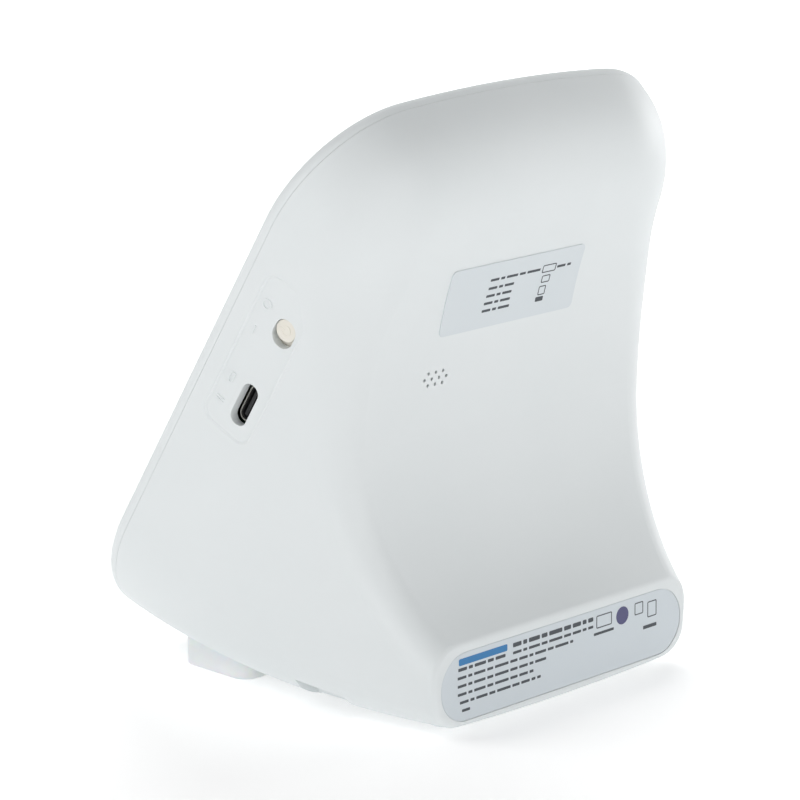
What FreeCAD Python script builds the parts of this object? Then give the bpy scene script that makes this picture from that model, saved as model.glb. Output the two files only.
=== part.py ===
import FreeCAD, Part
import math
import os
import re
import Sketcher
from FreeCAD import Placement, Rotation, Vector

# Desktop upper-arm blood pressure monitor: a moulded case with a leaning front, a hollow back and
# a flared base, and inside it the board, display, air pump, valve, speaker and four AAA cells.
# The case is laid out with z = 0 at its underside and y = 0 at its rear end face. At the end every
# piece is moved so that the feet stand on z = 0, with the middle of the case's box at the origin.

SIZES = [
    # The case
    ("lean", 33.6, "lean of the front face from upright, degrees"),
    ("base_length", 104.0, "line where the front face meets the ground, to the rear end face"),
    ("half_width", 55.9, "half width at the front face"),
    ("side_draft", 11.4, "taper of each side towards the back, degrees"),
    ("face_bottom", 6.2, "lower edge of the front face, along the face"),
    ("face_top", 159.0, "upper edge of the front face, along the face"),
    ("top_crown", 300.0, "radius of the crowned upper edge"),
    ("bottom_crown", 600.0, "radius of the crowned lower edge"),
    ("top_corner", 28.0, "upper corner radius at the face"),
    ("bottom_corner", 37.7, "lower corner radius at the face"),
    ("top_fall", 0.12, "fall of the upper edge for each mm of depth"),
    ("corner_fall", 0.16, "loss of upper corner radius for each mm of depth"),
    ("middle_depth", 51.6, "depth of the middle section behind the face"),
    ("middle_corner", 12.0, "lower corner radius of the middle section"),
    ("rear_depth", 88.0, "depth of the last section behind the face"),
    ("rear_corner", 7.1, "lower corner radius of the last section"),
    ("end_height", 18.8, "height of the rear end face"),
    ("waist_in", 18.3, "how far the back is hollowed in at the waist"),
    ("waist_height", 58.7, "height of the waist"),
    ("back_radius", 94.0, "radius of the back above the waist"),
    ("head_tilt", 21.7, "tilt of the straight upper back, degrees"),
    ("neck_height", 88.0, "height where the crease starts to widen"),
    ("head_height", 100.0, "height where the crease has its full radius"),
    ("crease_end", 7.0, "radius of the crease at the rear end face"),
    ("crease_waist", 8.5, "radius of the crease at the waist"),
    ("crease_neck", 15.0, "radius of the crease at the neck"),
    ("crease_head", 21.5, "radius of the crease round the head"),
    ("rim_radius", 2.2, "round of the front face's edge"),
    ("end_round", 1.5, "round of the rear end face's edge"),
    ("wall", 2.2, "wall of the mouldings"),
    ("seam_depth", 3.2, "depth of the front frame's edge behind the face"),
    ("seam_gap", 0.06, "open seam between front frame and rear shell"),
    ("lip_reach", 2.8, "reach of the front frame's lip past the seam"),
    ("lip_wall", 1.2, "thickness of that lip"),
    ("fit_gap", 0.25, "gap between pieces that fit into each other"),
    ("moving_gap", 0.3, "gap round pieces that move"),
    # Window and display
    ("window_side", 13.9, "display window's edge in from the case's side at the face"),
    ("window_height", 90.0, "display window"),
    ("window_corner", 12.0, "display window's corner radius"),
    ("window_up", 104.0, "middle of the window up the face"),
    ("window_thickness", 1.2, "display window"),
    ("window_ledge", 4.0, "ledge that carries the window"),
    ("module_overlap", 2.0, "display module past the opening, each side"),
    ("module_thickness", 4.5, "display module"),
    ("module_corner", 1.5, "display module's corner radius"),
    # Buttons and their switches
    ("start_diameter", 22.0, "start button"),
    ("start_up", 34.0, "start button's middle up the face"),
    ("small_diameter", 12.0, "memory and set buttons"),
    ("small_across", 30.0, "memory and set buttons, from the middle"),
    ("small_up", 38.0, "memory and set buttons up the face"),
    ("button_proud", 0.6, "buttons stand out of the face"),
    ("button_travel", 0.6, "button travel"),
    ("button_round", 0.5, "round of a button's edge"),
    ("flange_rim", 1.3, "flange behind the face, past the button"),
    ("flange_thickness", 1.0, "that flange"),
    ("stem_diameter", 4.0, "button stem"),
    ("switch_size", 6.0, "tact switch, square"),
    ("switch_height", 3.5, "tact switch"),
    ("plunger_diameter", 3.4, "tact switch's plunger"),
    ("plunger_height", 0.8, "tact switch's plunger"),
    ("press_clearance", 0.1, "left between stem and plunger when pressed"),
    # Main board
    ("board_deep", 11.7, "front of the board behind the face"),
    ("board_thickness", 1.6, "board"),
    ("board_side", 8.4, "board's edge in from the case's side at the face"),
    ("board_bottom", 30.0, "lower edge of the board up the face"),
    ("board_below", 22.0, "board's upper edge below the case's"),
    ("board_corner", 16.0, "board's corner radius"),
    ("post_diameter", 5.6, "posts that carry the board"),
    ("post_side", 3.5, "posts in from the board's side edges"),
    ("low_post_in", 20.0, "lower posts in from the board's lower edge"),
    ("high_post_in", 11.0, "upper posts in from the board's upper edge"),
    ("board_screw", 2.2, "board screw thread"),
    ("board_screw_length", 7.0, "board screw under its head"),
    ("board_head", 4.0, "board screw head"),
    ("board_head_height", 1.4, "board screw head"),
    ("thread_gap", 0.05, "gap round a screw's thread"),
    ("chip_size", 12.0, "controller chip, square"),
    ("chip_height", 1.4, "controller chip"),
    ("chip_up", 106.0, "controller chip up the face"),
    ("capacitor_diameter", 6.0, "capacitors by the chip"),
    ("capacitor_height", 5.0, "capacitors by the chip"),
    ("capacitor_across", 16.0, "capacitors from the middle"),
    # Side panel with power slide and USB-C socket
    ("panel_deep", 13.6, "middle of the side panel behind the face"),
    ("panel_width", 12.1, "side panel"),
    ("panel_above", 9.35, "side panel above the middle of the knob at rest"),
    ("panel_below", 8.55, "side panel below the middle of the USB-C cut-out"),
    ("panel_corner", 3.0, "side panel's corner radius"),
    ("panel_recess", 0.3, "side panel's depth"),
    ("panel_bevel", 55.0, "slope of the side panel's edge away from the wall's normal, degrees"),
    ("port_below", 21.6, "USB-C cut-out below the knob at rest"),
    ("port_width", 4.0, "USB-C cut-out across"),
    ("port_height", 10.8, "USB-C cut-out up the face"),
    ("port_in", 2.1, "USB-C socket's mouth inside the wall's outer face"),
    ("usb_width", 3.2, "USB-C socket shell"),
    ("usb_height", 8.94, "USB-C socket shell"),
    ("usb_length", 7.35, "USB-C socket shell"),
    ("usb_sheet", 0.3, "USB-C socket shell's sheet"),
    ("tongue_thickness", 0.7, "USB-C tongue"),
    ("tongue_height", 6.7, "USB-C tongue"),
    ("knob_diameter", 5.0, "power slide knob"),
    ("knob_deep", 16.15, "power slide knob behind the face"),
    ("knob_below", 47.4, "power slide knob at rest, below the case's upper edge"),
    ("knob_travel", 1.4, "power slide knob's travel, down the face"),
    ("knob_sunk", 0.35, "power slide knob's face below the panel"),
    ("knob_round", 0.2, "round of the knob's edge"),
    ("slot_gap", 0.15, "slot past the knob, each side"),
    ("slide_plate", 0.8, "plate behind the knob"),
    ("slide_plate_width", 7.0, "plate behind the knob"),
    ("slide_plate_height", 9.6, "plate behind the knob"),
    ("lever_size", 1.5, "lever of the power slide"),
    ("lever_reach", 2.0, "lever into its switch"),
    ("slider_width", 4.0, "slide switch body, off the board"),
    ("slider_gap", 0.9, "gap between the slide switch and the knob's plate"),
    ("slider_height", 9.0, "slide switch body, up the face"),
    ("slider_length", 4.4, "slide switch body, across"),
    # Cuff socket
    ("socket_deep", 24.0, "cuff socket behind the face"),
    ("socket_up", 84.0, "cuff socket up the face"),
    ("socket_bore", 8.2, "bore for the cuff's air plug"),
    ("socket_length", 12.0, "length of that bore"),
    ("socket_wall", 1.3, "cuff socket's tube"),
    ("socket_base", 1.4, "cuff socket's inner end"),
    ("socket_flange", 2.2, "flange inside the case, past the tube"),
    ("socket_flange_thickness", 1.4, "that flange"),
    ("ring_thickness", 1.2, "seal ring"),
    # Air parts
    ("nipple_diameter", 2.2, "hose nipples"),
    ("nipple_bore", 1.0, "hose nipples' bore"),
    ("nipple_length", 3.0, "hose nipples"),
    ("hose_diameter", 3.8, "silicone hoses"),
    ("hose_bore", 2.24, "silicone hoses"),
    ("hose_bend", 6.5, "bend radius of the hoses"),
    ("pump_in", 40.0, "pump's axis in from the rear end face"),
    ("head_left", 33.0, "pump head's outer end from the middle"),
    ("head_length", 25.0, "pump head"),
    ("head_square", 27.0, "pump head, square"),
    ("head_round", 3.0, "pump head's edges"),
    ("chamber_diameter", 20.0, "pump chamber"),
    ("chamber_wall", 3.0, "pump head's end walls"),
    ("motor_diameter", 24.0, "pump motor"),
    ("motor_length", 30.0, "pump motor"),
    ("shaft_diameter", 2.0, "motor shaft"),
    ("shaft_gap", 0.05, "gap round the motor shaft"),
    ("shaft_grip", 6.0, "motor shaft inside the motor"),
    ("crank_diameter", 9.0, "crank disc"),
    ("crank_length", 5.0, "crank disc"),
    ("crank_offset", 1.2, "crank disc off the shaft's axis"),
    ("diaphragm_thickness", 1.2, "pump diaphragm"),
    ("saddle_length", 16.0, "saddle under the motor"),
    ("saddle_height", 8.0, "saddle under the motor"),
    ("manifold_length", 14.0, "air manifold across"),
    ("manifold_width", 15.0, "air manifold, front to back"),
    ("manifold_height", 6.5, "air manifold"),
    ("manifold_across", 19.0, "air manifold's middle from the case's middle"),
    ("manifold_forward", 3.0, "air manifold's middle in front of the pump's axis"),
    ("cuff_nipple_across", 21.5, "cuff nipple from the case's middle"),
    ("sensor_nipple_across", 15.0, "sensor nipple from the case's middle"),
    ("hose_rise", 9.0, "corner of the sensor's hose above the manifold"),
    ("sensor_size", 8.0, "pressure sensor, square"),
    ("sensor_height", 5.5, "pressure sensor"),
    ("sensor_up", 92.0, "lower edge of the pressure sensor up the face"),
    ("valve_across", 31.0, "deflate valve from the middle"),
    ("valve_length", 11.0, "deflate valve"),
    ("valve_width", 12.0, "deflate valve"),
    ("valve_height", 14.0, "deflate valve's coil frame"),
    ("valve_cap_height", 4.0, "deflate valve's cap"),
    ("valve_cap_wall", 1.2, "deflate valve's cap"),
    ("valve_bore_depth", 12.0, "bore in the coil"),
    ("valve_plunger", 4.0, "valve plunger"),
    ("valve_plunger_length", 9.8, "valve plunger"),
    ("valve_seal", 6.0, "valve plunger's seal"),
    ("valve_seal_thickness", 1.0, "valve plunger's seal"),
    ("valve_gap", 0.1, "gap round the valve plunger"),
    # Speaker
    ("speaker_across", 20.6, "speaker from the middle"),
    ("speaker_height", 70.65, "height of the speaker's axis at the back"),
    ("speaker_diameter", 20.0, "speaker"),
    ("speaker_thickness", 4.5, "speaker"),
    ("speaker_magnet", 11.0, "speaker magnet"),
    ("speaker_magnet_height", 2.5, "speaker magnet"),
    ("speaker_cup_wall", 1.4, "cup round the speaker"),
    ("speaker_cup_height", 3.2, "cup round the speaker"),
    ("hole_diameter", 0.75, "speaker holes"),
    ("hole_pitch", 2.15, "speaker holes in a row"),
    ("row_pitch", 1.32, "rows of speaker holes"),
    # Battery compartment
    ("bay_in", 40.0, "middle of the battery bay in from the rear end face"),
    ("door_length", 56.2, "door, across"),
    ("door_margin", 1.05, "door past the outer cells, front and back"),
    ("door_corner", 3.0, "door's corner radius"),
    ("tab_width", 6.0, "door's hook tabs"),
    ("tab_spacing", 22.0, "between the hook tabs"),
    ("tab_thickness", 1.2, "door's hook tabs"),
    ("tab_root", 1.8, "hook tabs inside the door's edge"),
    ("tab_reach", 3.4, "hook tabs past the door's edge"),
    ("tab_lift", 1.4, "hook tabs above the case's floor"),
    ("tongue_width", 12.0, "door's latch tongue"),
    ("latch_height", 5.0, "door's latch tongue"),
    ("latch_thickness", 1.2, "door's latch tongue"),
    ("latch_inset", 0.6, "latch tongue in from the door's edge"),
    ("notch_in", 31.0, "finger notch's middle in from the rear end face"),
    ("notch_width", 13.0, "finger notch by the door"),
    ("notch_depth", 1.2, "finger notch under the tray"),
    ("notch_height", 5.0, "finger notch in the side of the case"),
    ("notch_tilt", 7.0, "fall of the notch's roof towards the back, degrees"),
    ("tray_margin", 6.0, "tray's outer wall past the door's hooked and free edges"),
    ("tray_wall", 1.2, "battery tray"),
    ("tray_height", 13.8, "battery tray above the case's floor"),
    ("rib_bottom", 5.6, "lower edge of the tray's contact ribs"),
    ("cell_diameter", 10.5, "AAA cell"),
    ("cell_length", 44.5, "AAA cell with its nub"),
    ("nub_length", 1.0, "AAA cell's nub"),
    ("nub_diameter", 3.8, "AAA cell's nub"),
    ("cell_gap", 1.3, "between cells"),
    ("cell_count", 4, "cells side by side"),
    ("contact_spring", 2.85, "contact spring, pressed"),
    ("contact_spring_diameter", 5.6, "contact spring"),
    ("spring_wire", 0.5, "wire of the contact springs and the valve's spring"),
    ("spring_turns", 3, "turns of those springs"),
    ("contact_thickness", 0.4, "contact plates"),
    ("contact_width", 8.0, "contact plates"),
    ("contact_height", 7.2, "contact plates"),
    # Case screws
    ("screw_across", 28.0, "case screws from the middle"),
    ("screw_deep", 11.0, "case screws behind the face"),
    ("screw_seat", 15.8, "seat of the screw heads up the face"),
    ("screw_floor", 2.4, "plastic under the screw heads"),
    ("case_screw", 3.0, "case screw thread"),
    ("case_screw_length", 10.0, "case screw under its head"),
    ("case_head", 5.6, "case screw head"),
    ("case_head_height", 2.0, "case screw head"),
    ("screw_boss", 8.0, "bosses round the case screws"),
    # Feet and labels
    ("foot_height", 1.0, "the feet lift the case by this much"),
    ("front_foot_length", 21.0, "front foot, front to back"),
    ("front_foot_width", 9.6, "front foot"),
    ("front_foot_across", 33.8, "front foot from the middle"),
    ("front_foot_in", 69.5, "front foot's middle in from the rear end face"),
    ("front_foot_round", 3.8, "front foot's corners"),
    ("toe_length", 2.0, "slope under the front foot's toe"),
    ("toe_height", 1.8, "that slope"),
    ("toe_lean", 25.0, "lean of the front foot's end above the slope, degrees"),
    ("foot_edge", 0.4, "round of the feet's lower edges"),
    ("front_foot_block", 9.0, "height of the block that the front foot is cut from"),
    ("rear_foot_diameter", 9.0, "rear foot"),
    ("rear_foot_across", 27.0, "rear foot from the middle"),
    ("rear_foot_in", 8.5, "rear foot in from the rear end face"),
    ("label_margin", 1.85, "rating label in from the end face's edge"),
    ("label_recess", 0.3, "recess of the rating label"),
    ("label_thickness", 0.2, "labels"),
    ("label_gap", 0.15, "gap round the rating label"),
    ("lot_width", 40.6, "lot label across"),
    ("lot_bottom", 79.6, "lower edge of the lot label"),
    ("lot_top", 94.2, "upper edge of the lot label"),
    ("lot_across", 1.0, "middle of the lot label from the case's middle"),
    ("lot_corner", 1.3, "lot label's corner radius"),
]

doc = FreeCAD.newDocument("pressure_monitor")
sheet = doc.addObject("Spreadsheet::Sheet", "sizes")
for row, (alias, size, note) in enumerate(SIZES, start=1):
    sheet.set(f"A{row}", note)
    sheet.set(f"B{row}", str(size))
    sheet.setAlias(f"B{row}", alias)
doc.recompute()


def mm(expression):
    """The value of an expression in the sheet's sizes."""
    return float(sheet.evalExpression(expression))


ACROSS = Vector(1, 0, 0)
LEAN = math.radians(mm("lean"))
DRAFT = math.radians(mm("side_draft"))
UP_FACE = Vector(0, math.sin(LEAN), math.cos(LEAN))
INTO_CASE = Vector(0, math.cos(LEAN), -math.sin(LEAN))
BEYOND = 20.0   # how far cutting shapes stand past the case
nodes = []


# Places

def on_face(across, up, deep):
    """Point given across the face, up along it and deep behind it."""
    return Vector(across, -mm("base_length"), 0) + UP_FACE * up + INTO_CASE * deep


def facing(across, up, deep):
    """Placement with x across, y up the face and z out of the face."""
    return Placement(on_face(across, up, deep), Rotation(ACROSS, 90 - mm("lean")))


def rising(across, up, deep):
    """Placement with z up along the face and y into the case."""
    return Placement(on_face(across, up, deep), Rotation(ACROSS, -mm("lean")))


def beside(side, deep, up, inside):
    """Placement on a side wall, +1 or -1: z out of the wall, x towards the back."""
    back = INTO_CASE * math.cos(DRAFT) - ACROSS * side * math.sin(DRAFT)
    out = ACROSS * side * math.cos(DRAFT) + INTO_CASE * math.sin(DRAFT)
    point = on_face(side * mm("half_width"), up, 0) + back * deep - out * inside
    return Placement(point, Rotation(back, UP_FACE * side, out, "ZXY"))


def upright(across, in_from_end, height):
    return Placement(Vector(across, -in_from_end, height), Rotation())


def shifted(place, distance):
    """Placement moved along its own z axis."""
    return place.multiply(Placement(Vector(0, 0, distance), Rotation()))


def along_x(across, in_from_end, height):
    """Placement whose z axis points along +X."""
    return Placement(Vector(across, -in_from_end, height), Rotation(Vector(0, 1, 0), 90))


def along_board(across, up, deep):
    """Placement whose z axis points along +X, with x into the case and y up the face."""
    return Placement(on_face(across, up, deep), Rotation(INTO_CASE, UP_FACE, ACROSS, "ZXY"))


def rearward(across, inside, height):
    """Placement on the rear end face with z out of it."""
    return Placement(Vector(across, -inside, height), Rotation(ACROSS, -90))


# Shapes bound to the sheet

ALIASES = {alias for alias, size, note in SIZES}


def qualified(expression):
    """An expression with each alias read from the sheet, as the other objects need it."""
    return re.sub(r"[a-z_]+", lambda word: f"sizes.{word[0]}" if word[0] in ALIASES else word[0], expression)


def bind(thing, **expressions):
    for name, expression in expressions.items():
        thing.setExpression(name, qualified(expression))
    return thing


def box(name, length, width, height, place):
    """Box that stands on the middle of its placement."""
    piece = bind(doc.addObject("Part::Box", name), Length=length, Width=width, Height=height)
    middle = Vector(-mm(length) / 2, -mm(width) / 2, 0)
    piece.Placement = place.multiply(Placement(middle, Rotation()))
    return piece


def cylinder(name, radius, height, place):
    piece = bind(doc.addObject("Part::Cylinder", name), Radius=radius, Height=height)
    piece.Placement = place
    return piece


def fuse(name, *pieces):
    result = doc.addObject("Part::MultiFuse", name)
    result.Shapes = list(pieces)
    return result


def common(name, *pieces):
    result = doc.addObject("Part::MultiCommon", name)
    result.Shapes = list(pieces)
    return result


def group(name, pieces):
    result = doc.addObject("Part::Compound", name)
    result.Links = list(pieces)
    return result


def cut(name, base, *tools):
    result = doc.addObject("Part::Cut", name)
    result.Base = base
    result.Tool = tools[0] if len(tools) == 1 else fuse(name + "_tools", *tools)
    return result


def feature(name, shape):
    piece = doc.addObject("Part::Feature", name)
    piece.Shape = shape
    return piece


def fillet(name, base, edges):
    """Part::Fillet of edges given as (number, first radius, last radius)."""
    result = doc.addObject("Part::Fillet", name)
    result.Base = base
    result.Edges = edges
    doc.recompute()
    return result


def computed(piece):
    doc.recompute()
    return piece.Shape


def sub_part(name, piece):
    piece.Label = name
    nodes.append(piece)
    return piece


# PartDesign bodies

def new_sketch(body, name):
    sketch = body.newObject("Sketcher::SketchObject", name)
    plane = next(plane for plane in body.Origin.OriginFeatures if plane.Role == "XY_Plane")
    sketch.AttachmentSupport = (plane, [""])
    sketch.MapMode = "FlatFace"
    return sketch


def dimension(sketch, kind, places, expression):
    """Add a dimension to a sketch and bind it to an expression."""
    number = sketch.addConstraint(Sketcher.Constraint(kind, *places, mm(expression)))
    sketch.setExpression(f"Constraints[{number}]", qualified(expression))


def rounded_rectangle(sketch, width, height, corner):
    """Rectangle with round corners about the sketch's origin."""
    w, h, r = mm(width) / 2, mm(height) / 2, mm(corner)
    sides = [((r - w, -h), (w - r, -h)), ((w, r - h), (w, h - r)),
             ((w - r, h), (r - w, h)), ((-w, h - r), (-w, r - h))]
    middles = [(w - r, r - h), (w - r, h - r), (r - w, h - r), (r - w, r - h)]
    for quarter, ((start, end), middle) in enumerate(zip(sides, middles)):
        sketch.addGeometry(Part.LineSegment(Vector(*start, 0), Vector(*end, 0)))
        circle = Part.Circle(Vector(*middle, 0), Vector(0, 0, 1), r)
        turn = math.pi / 2 * (quarter - 1)
        sketch.addGeometry(Part.ArcOfCircle(circle, turn, turn + math.pi / 2))
    start, end, centre = 1, 2, 3
    bottom, right, top, left = 0, 2, 4, 6
    for side in (bottom, right, top, left):
        arc = side + 1
        sketch.addConstraint(Sketcher.Constraint("Tangent", side, end, arc, start))
        sketch.addConstraint(Sketcher.Constraint("Tangent", arc, end, (side + 2) % 8, start))
    for side, kind in ((bottom, "Horizontal"), (top, "Horizontal"), (right, "Vertical"), (left, "Vertical")):
        sketch.addConstraint(Sketcher.Constraint(kind, side))
    for arc in (right + 1, top + 1):
        sketch.addConstraint(Sketcher.Constraint("Equal", bottom + 1, arc))
    sketch.addConstraint(Sketcher.Constraint("Symmetric", bottom, start, top, start, -1, 1))
    dimension(sketch, "Radius", (bottom + 1,), corner)
    dimension(sketch, "DistanceX", (left, start, right, start), width)
    dimension(sketch, "DistanceY", (bottom, start, top, end), height)


def plate(name, width, height, thickness, corner, place):
    """PartDesign body: a plate with round corners, padded along z from the middle of its placement."""
    body = doc.addObject("PartDesign::Body", name)
    sketch = new_sketch(body, name + "_outline")
    rounded_rectangle(sketch, width, height, corner)
    pad = body.newObject("PartDesign::Pad", name + "_pad")
    pad.Profile = sketch
    bind(pad, Length=thickness)
    sketch.Visibility = False
    body.Placement = place
    return body


def pocket(body, name, depth, draw):
    """Pocket from a body's XY plane into its pad; without a depth it goes right through."""
    doc.recompute()
    before = body.Shape.Volume
    sketch = new_sketch(body, name + "_outline")
    draw(sketch)
    hollow = body.newObject("PartDesign::Pocket", name)
    hollow.Profile = sketch
    hollow.Reversed = True
    if depth:
        bind(hollow, Length=depth)
    else:
        hollow.Type = "ThroughAll"
    doc.recompute()
    if body.Shape.Volume >= before:
        raise RuntimeError(f"{name} cuts nothing")


# The case's form

def corner_arc(half_width, crown_top, radius, crown, side):
    """Corner between a straight side and a crowned edge (side +1 top, -1 bottom): start, middle, end."""
    crown_middle = crown_top - side * crown
    middle_across = half_width - radius
    middle_up = crown_middle + side * math.sqrt((crown - radius) ** 2 - middle_across ** 2)
    share = crown / (crown - radius)
    end = (middle_across * share, crown_middle + (middle_up - crown_middle) * share)
    lean_across = 1 + (end[0] - middle_across) / radius
    lean_up = (end[1] - middle_up) / radius
    reach = radius / math.hypot(lean_across, lean_up)
    return (half_width, middle_up), (middle_across + lean_across * reach, middle_up + lean_up * reach), end


def outline(deep, half_width, bottom, top, bottom_corner, top_corner, bottom_crown, top_crown):
    """Closed section of the case, parallel to its front face."""
    def point(place, side=1):
        return on_face(side * place[0], place[1], deep)

    high = corner_arc(half_width, top, top_corner, top_crown, 1)
    low = corner_arc(half_width, bottom, bottom_corner, bottom_crown, -1)
    edges = [
        Part.LineSegment(point(low[0]), point(high[0])),
        Part.Arc(point(high[0]), point(high[1]), point(high[2])),
        Part.Arc(point(high[2]), point((0, top)), point(high[2], -1)),
        Part.Arc(point(high[2], -1), point(high[1], -1), point(high[0], -1)),
        Part.LineSegment(point(high[0], -1), point(low[0], -1)),
        Part.Arc(point(low[0], -1), point(low[1], -1), point(low[2], -1)),
        Part.Arc(point(low[2], -1), point((0, bottom)), point(low[2])),
        Part.Arc(point(low[2]), point(low[1]), point(low[0])),
    ]
    return Part.Wire([edge.toShape() for edge in edges])


def case_loft(inset):
    """Loft through the sections of the case, with every side moved in by inset."""
    flat = math.tan(LEAN)
    stations = [(0.0, mm("face_bottom") + inset, mm("bottom_corner")),
                (mm("middle_depth"), mm("middle_depth") * flat + inset / math.cos(LEAN), mm("middle_corner")),
                (mm("rear_depth"), mm("rear_depth") * flat + inset / math.cos(LEAN), mm("rear_corner"))]
    sections = []
    for deep, bottom, bottom_corner in stations:
        half_width = mm("half_width") - math.tan(DRAFT) * deep - inset / math.cos(DRAFT)
        top = mm("face_top") - mm("top_fall") * deep - inset
        top_corner = mm("top_corner") - mm("corner_fall") * deep - inset
        sections.append(outline(deep, half_width, bottom, top, bottom_corner - inset, top_corner,
                                mm("bottom_crown") - inset, mm("top_crown") - inset))
    return Part.makeLoft(sections, True, False)


def back_arcs():
    """Middle and radius of the arc below the waist and of the one above it."""
    rise = mm("waist_height - end_height")
    low_radius = (mm("waist_in") ** 2 + rise ** 2) / (2 * mm("waist_in"))
    low = Vector(0, low_radius - mm("waist_in"), mm("waist_height"))
    high = Vector(0, mm("back_radius - waist_in"), mm("waist_height"))
    return low, low_radius, high, mm("back_radius")


def side_profile(inset):
    """The case seen from the side, with its back moved in by inset, as a prism across its width."""
    low, low_radius, high, high_radius = back_arcs()
    low_radius += inset
    high_radius += inset
    end_angle = math.acos((low.y + inset) / low_radius)
    tilt = math.radians(mm("head_tilt"))

    def on_arc(middle, radius, angle):
        return middle + Vector(0, -math.cos(angle), math.sin(angle)) * radius

    rim = on_arc(low, low_radius, -end_angle)
    waist = on_arc(low, low_radius, 0)
    neck = on_arc(high, high_radius, tilt)
    crest = mm("face_top")
    peak = neck + Vector(0, math.tan(tilt), 1) * (crest - neck.z)
    front = -mm("base_length") - BEYOND
    edges = [
        Part.LineSegment(peak, neck),
        Part.Arc(neck, on_arc(high, high_radius, tilt / 2), waist),
        Part.Arc(waist, on_arc(low, low_radius, -end_angle / 2), rim),
        Part.LineSegment(rim, Vector(0, rim.y, -BEYOND)),
        Part.LineSegment(Vector(0, rim.y, -BEYOND), Vector(0, front, -BEYOND)),
        Part.LineSegment(Vector(0, front, -BEYOND), Vector(0, front, crest)),
        Part.LineSegment(Vector(0, front, crest), peak),
    ]
    face = Part.Face(Part.Wire([edge.toShape() for edge in edges]))
    half = mm("half_width") + BEYOND
    face.translate(Vector(-half, 0, 0))
    return face.extrude(Vector(2 * half, 0, 0))


def sharp_edges(shape, least=5.0):
    """Edges whose faces meet at least that many degrees apart, as (number, edge, middle)."""
    found = []
    for number, edge in enumerate(shape.Edges, start=1):
        middle = edge.valueAt((edge.FirstParameter + edge.LastParameter) / 2)
        faces = shape.ancestorsOfType(edge, Part.Face)
        if len(faces) == 2:
            normals = [face.normalAt(*face.Surface.parameter(middle)) for face in faces]
            if math.degrees(normals[0].getAngle(normals[1])) > least:
                found.append((number, edge, middle))
    return found


def depth_of(point):
    """How far a point lies behind the front face."""
    return (point - on_face(0, 0, 0)).dot(INTO_CASE)


def case_form(name, inset):
    """The case's solid moved in by inset, with its crease rounded wider from the base to the head."""
    solid = case_loft(inset).common(side_profile(inset)).Solids[0]
    block = feature(name + "_block", solid)
    stations = [(mm("end_height"), mm("crease_end")), (mm("waist_height"), mm("crease_waist")),
                (mm("neck_height"), mm("crease_neck")), (mm("head_height"), mm("crease_head"))]

    def radius(height):
        for (low, first), (high, last) in zip(stations, stations[1:]):
            if height <= high:
                share = max(0.0, (height - low) / (high - low))
                return first + (last - first) * share - inset
        return stations[-1][1] - inset

    crease = [(number, radius(edge.firstVertex().Point.z), radius(edge.lastVertex().Point.z))
              for number, edge, middle in sharp_edges(solid)
              if middle.z > mm("end_height + moving_gap") and depth_of(middle) > mm("moving_gap")]
    return fillet(name, block, crease)


def slab(name, first, last):
    """Everything between two depths behind the face."""
    return box(name, "2 * (half_width + wall)", "2 * face_top", f"{last} - ({first})",
               facing(0, mm("face_top / 2"), mm(last)))


creased = case_form("creased_case", 0.0)
rim = [(number, mm("rim_radius"), mm("rim_radius"))
       for number, edge, middle in sharp_edges(creased.Shape) if abs(depth_of(middle)) < mm("moving_gap")]
end = [(number, mm("end_round"), mm("end_round"))
       for number, edge, middle in sharp_edges(creased.Shape) if abs(middle.y) < mm("moving_gap")]
outer = fillet("case_outside", creased, rim + end)
inner = case_form("case_inside", mm("wall"))
cavity = cut("cavity", inner, slab("face_plate", "-wall", "wall"))


# Pieces between two depths behind the face

def pin(name, radius, across, up, first, last):
    return cylinder(name, radius, f"({last}) - ({first})", facing(across, up, mm(last)))


def block(name, width, height, across, up, first, last):
    return box(name, width, height, f"({last}) - ({first})", facing(across, up, mm(last)))


# Where things are

BUTTONS = [("start_button", "start_diameter", 0.0, mm("start_up")),
           ("memory_button", "small_diameter", -mm("small_across"), mm("small_up")),
           ("set_button", "small_diameter", mm("small_across"), mm("small_up"))]
BOARD_TOP = "(face_top - board_below)"
POST_ACROSS = "(half_width - board_side - post_side)"
POST_HEIGHTS = ["(board_bottom + low_post_in)", f"({BOARD_TOP} - high_post_in)"]
POSTS = [(side * mm(POST_ACROSS), mm(up)) for side in (-1, 1) for up in POST_HEIGHTS]
SCREWS = [side * mm("screw_across") for side in (-1, 1)]
FRONT = "-2 * wall"
WINDOW_WIDTH = "(2 * (half_width - window_side))"
BOARD_BACK = "board_deep + board_thickness"
PRESSED_STEM = "board_deep - switch_height - plunger_height - press_clearance"
LABEL_HEIGHT = "(end_height - 2 * label_margin)"
LABEL_WIDTH = ("(2 * (half_width - tan(side_draft) * (base_length * cos(lean) - end_height / 2 * sin(lean))"
               " - label_margin))")
KNOB_UP = mm("face_top - knob_below")
PORT_UP = KNOB_UP - mm("port_below")
PORT_DEEP = mm(f"{BOARD_BACK} + usb_width / 2")
PORT_MOUTH = mm("half_width - port_in") - math.tan(DRAFT) * PORT_DEEP
SEAT_TOP = mm("screw_seat + screw_floor")
BAY = mm("bay_in")
CELL_PITCH = "(cell_diameter + cell_gap)"
DOOR_WIDTH = f"((cell_count - 1) * {CELL_PITCH} + cell_diameter + 2 * door_margin)"
NOTCH_REACH = "(tray_margin + fit_gap + wall)"
NOTCH_START = mm(f"door_length / 2 + {NOTCH_REACH}")
TRAY_TOP = mm("wall + tray_height")
PUMP_AXIS = TRAY_TOP + mm("head_square / 2")
MANIFOLD_TOP = TRAY_TOP + mm("head_square + manifold_height")
SOCKET_DEPTH = "socket_length + socket_base"
FLANGE_RADIUS = "socket_bore / 2 + socket_wall + socket_flange"
SENSOR_DEEP = mm(f"{BOARD_BACK} + sensor_height / 2")


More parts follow.
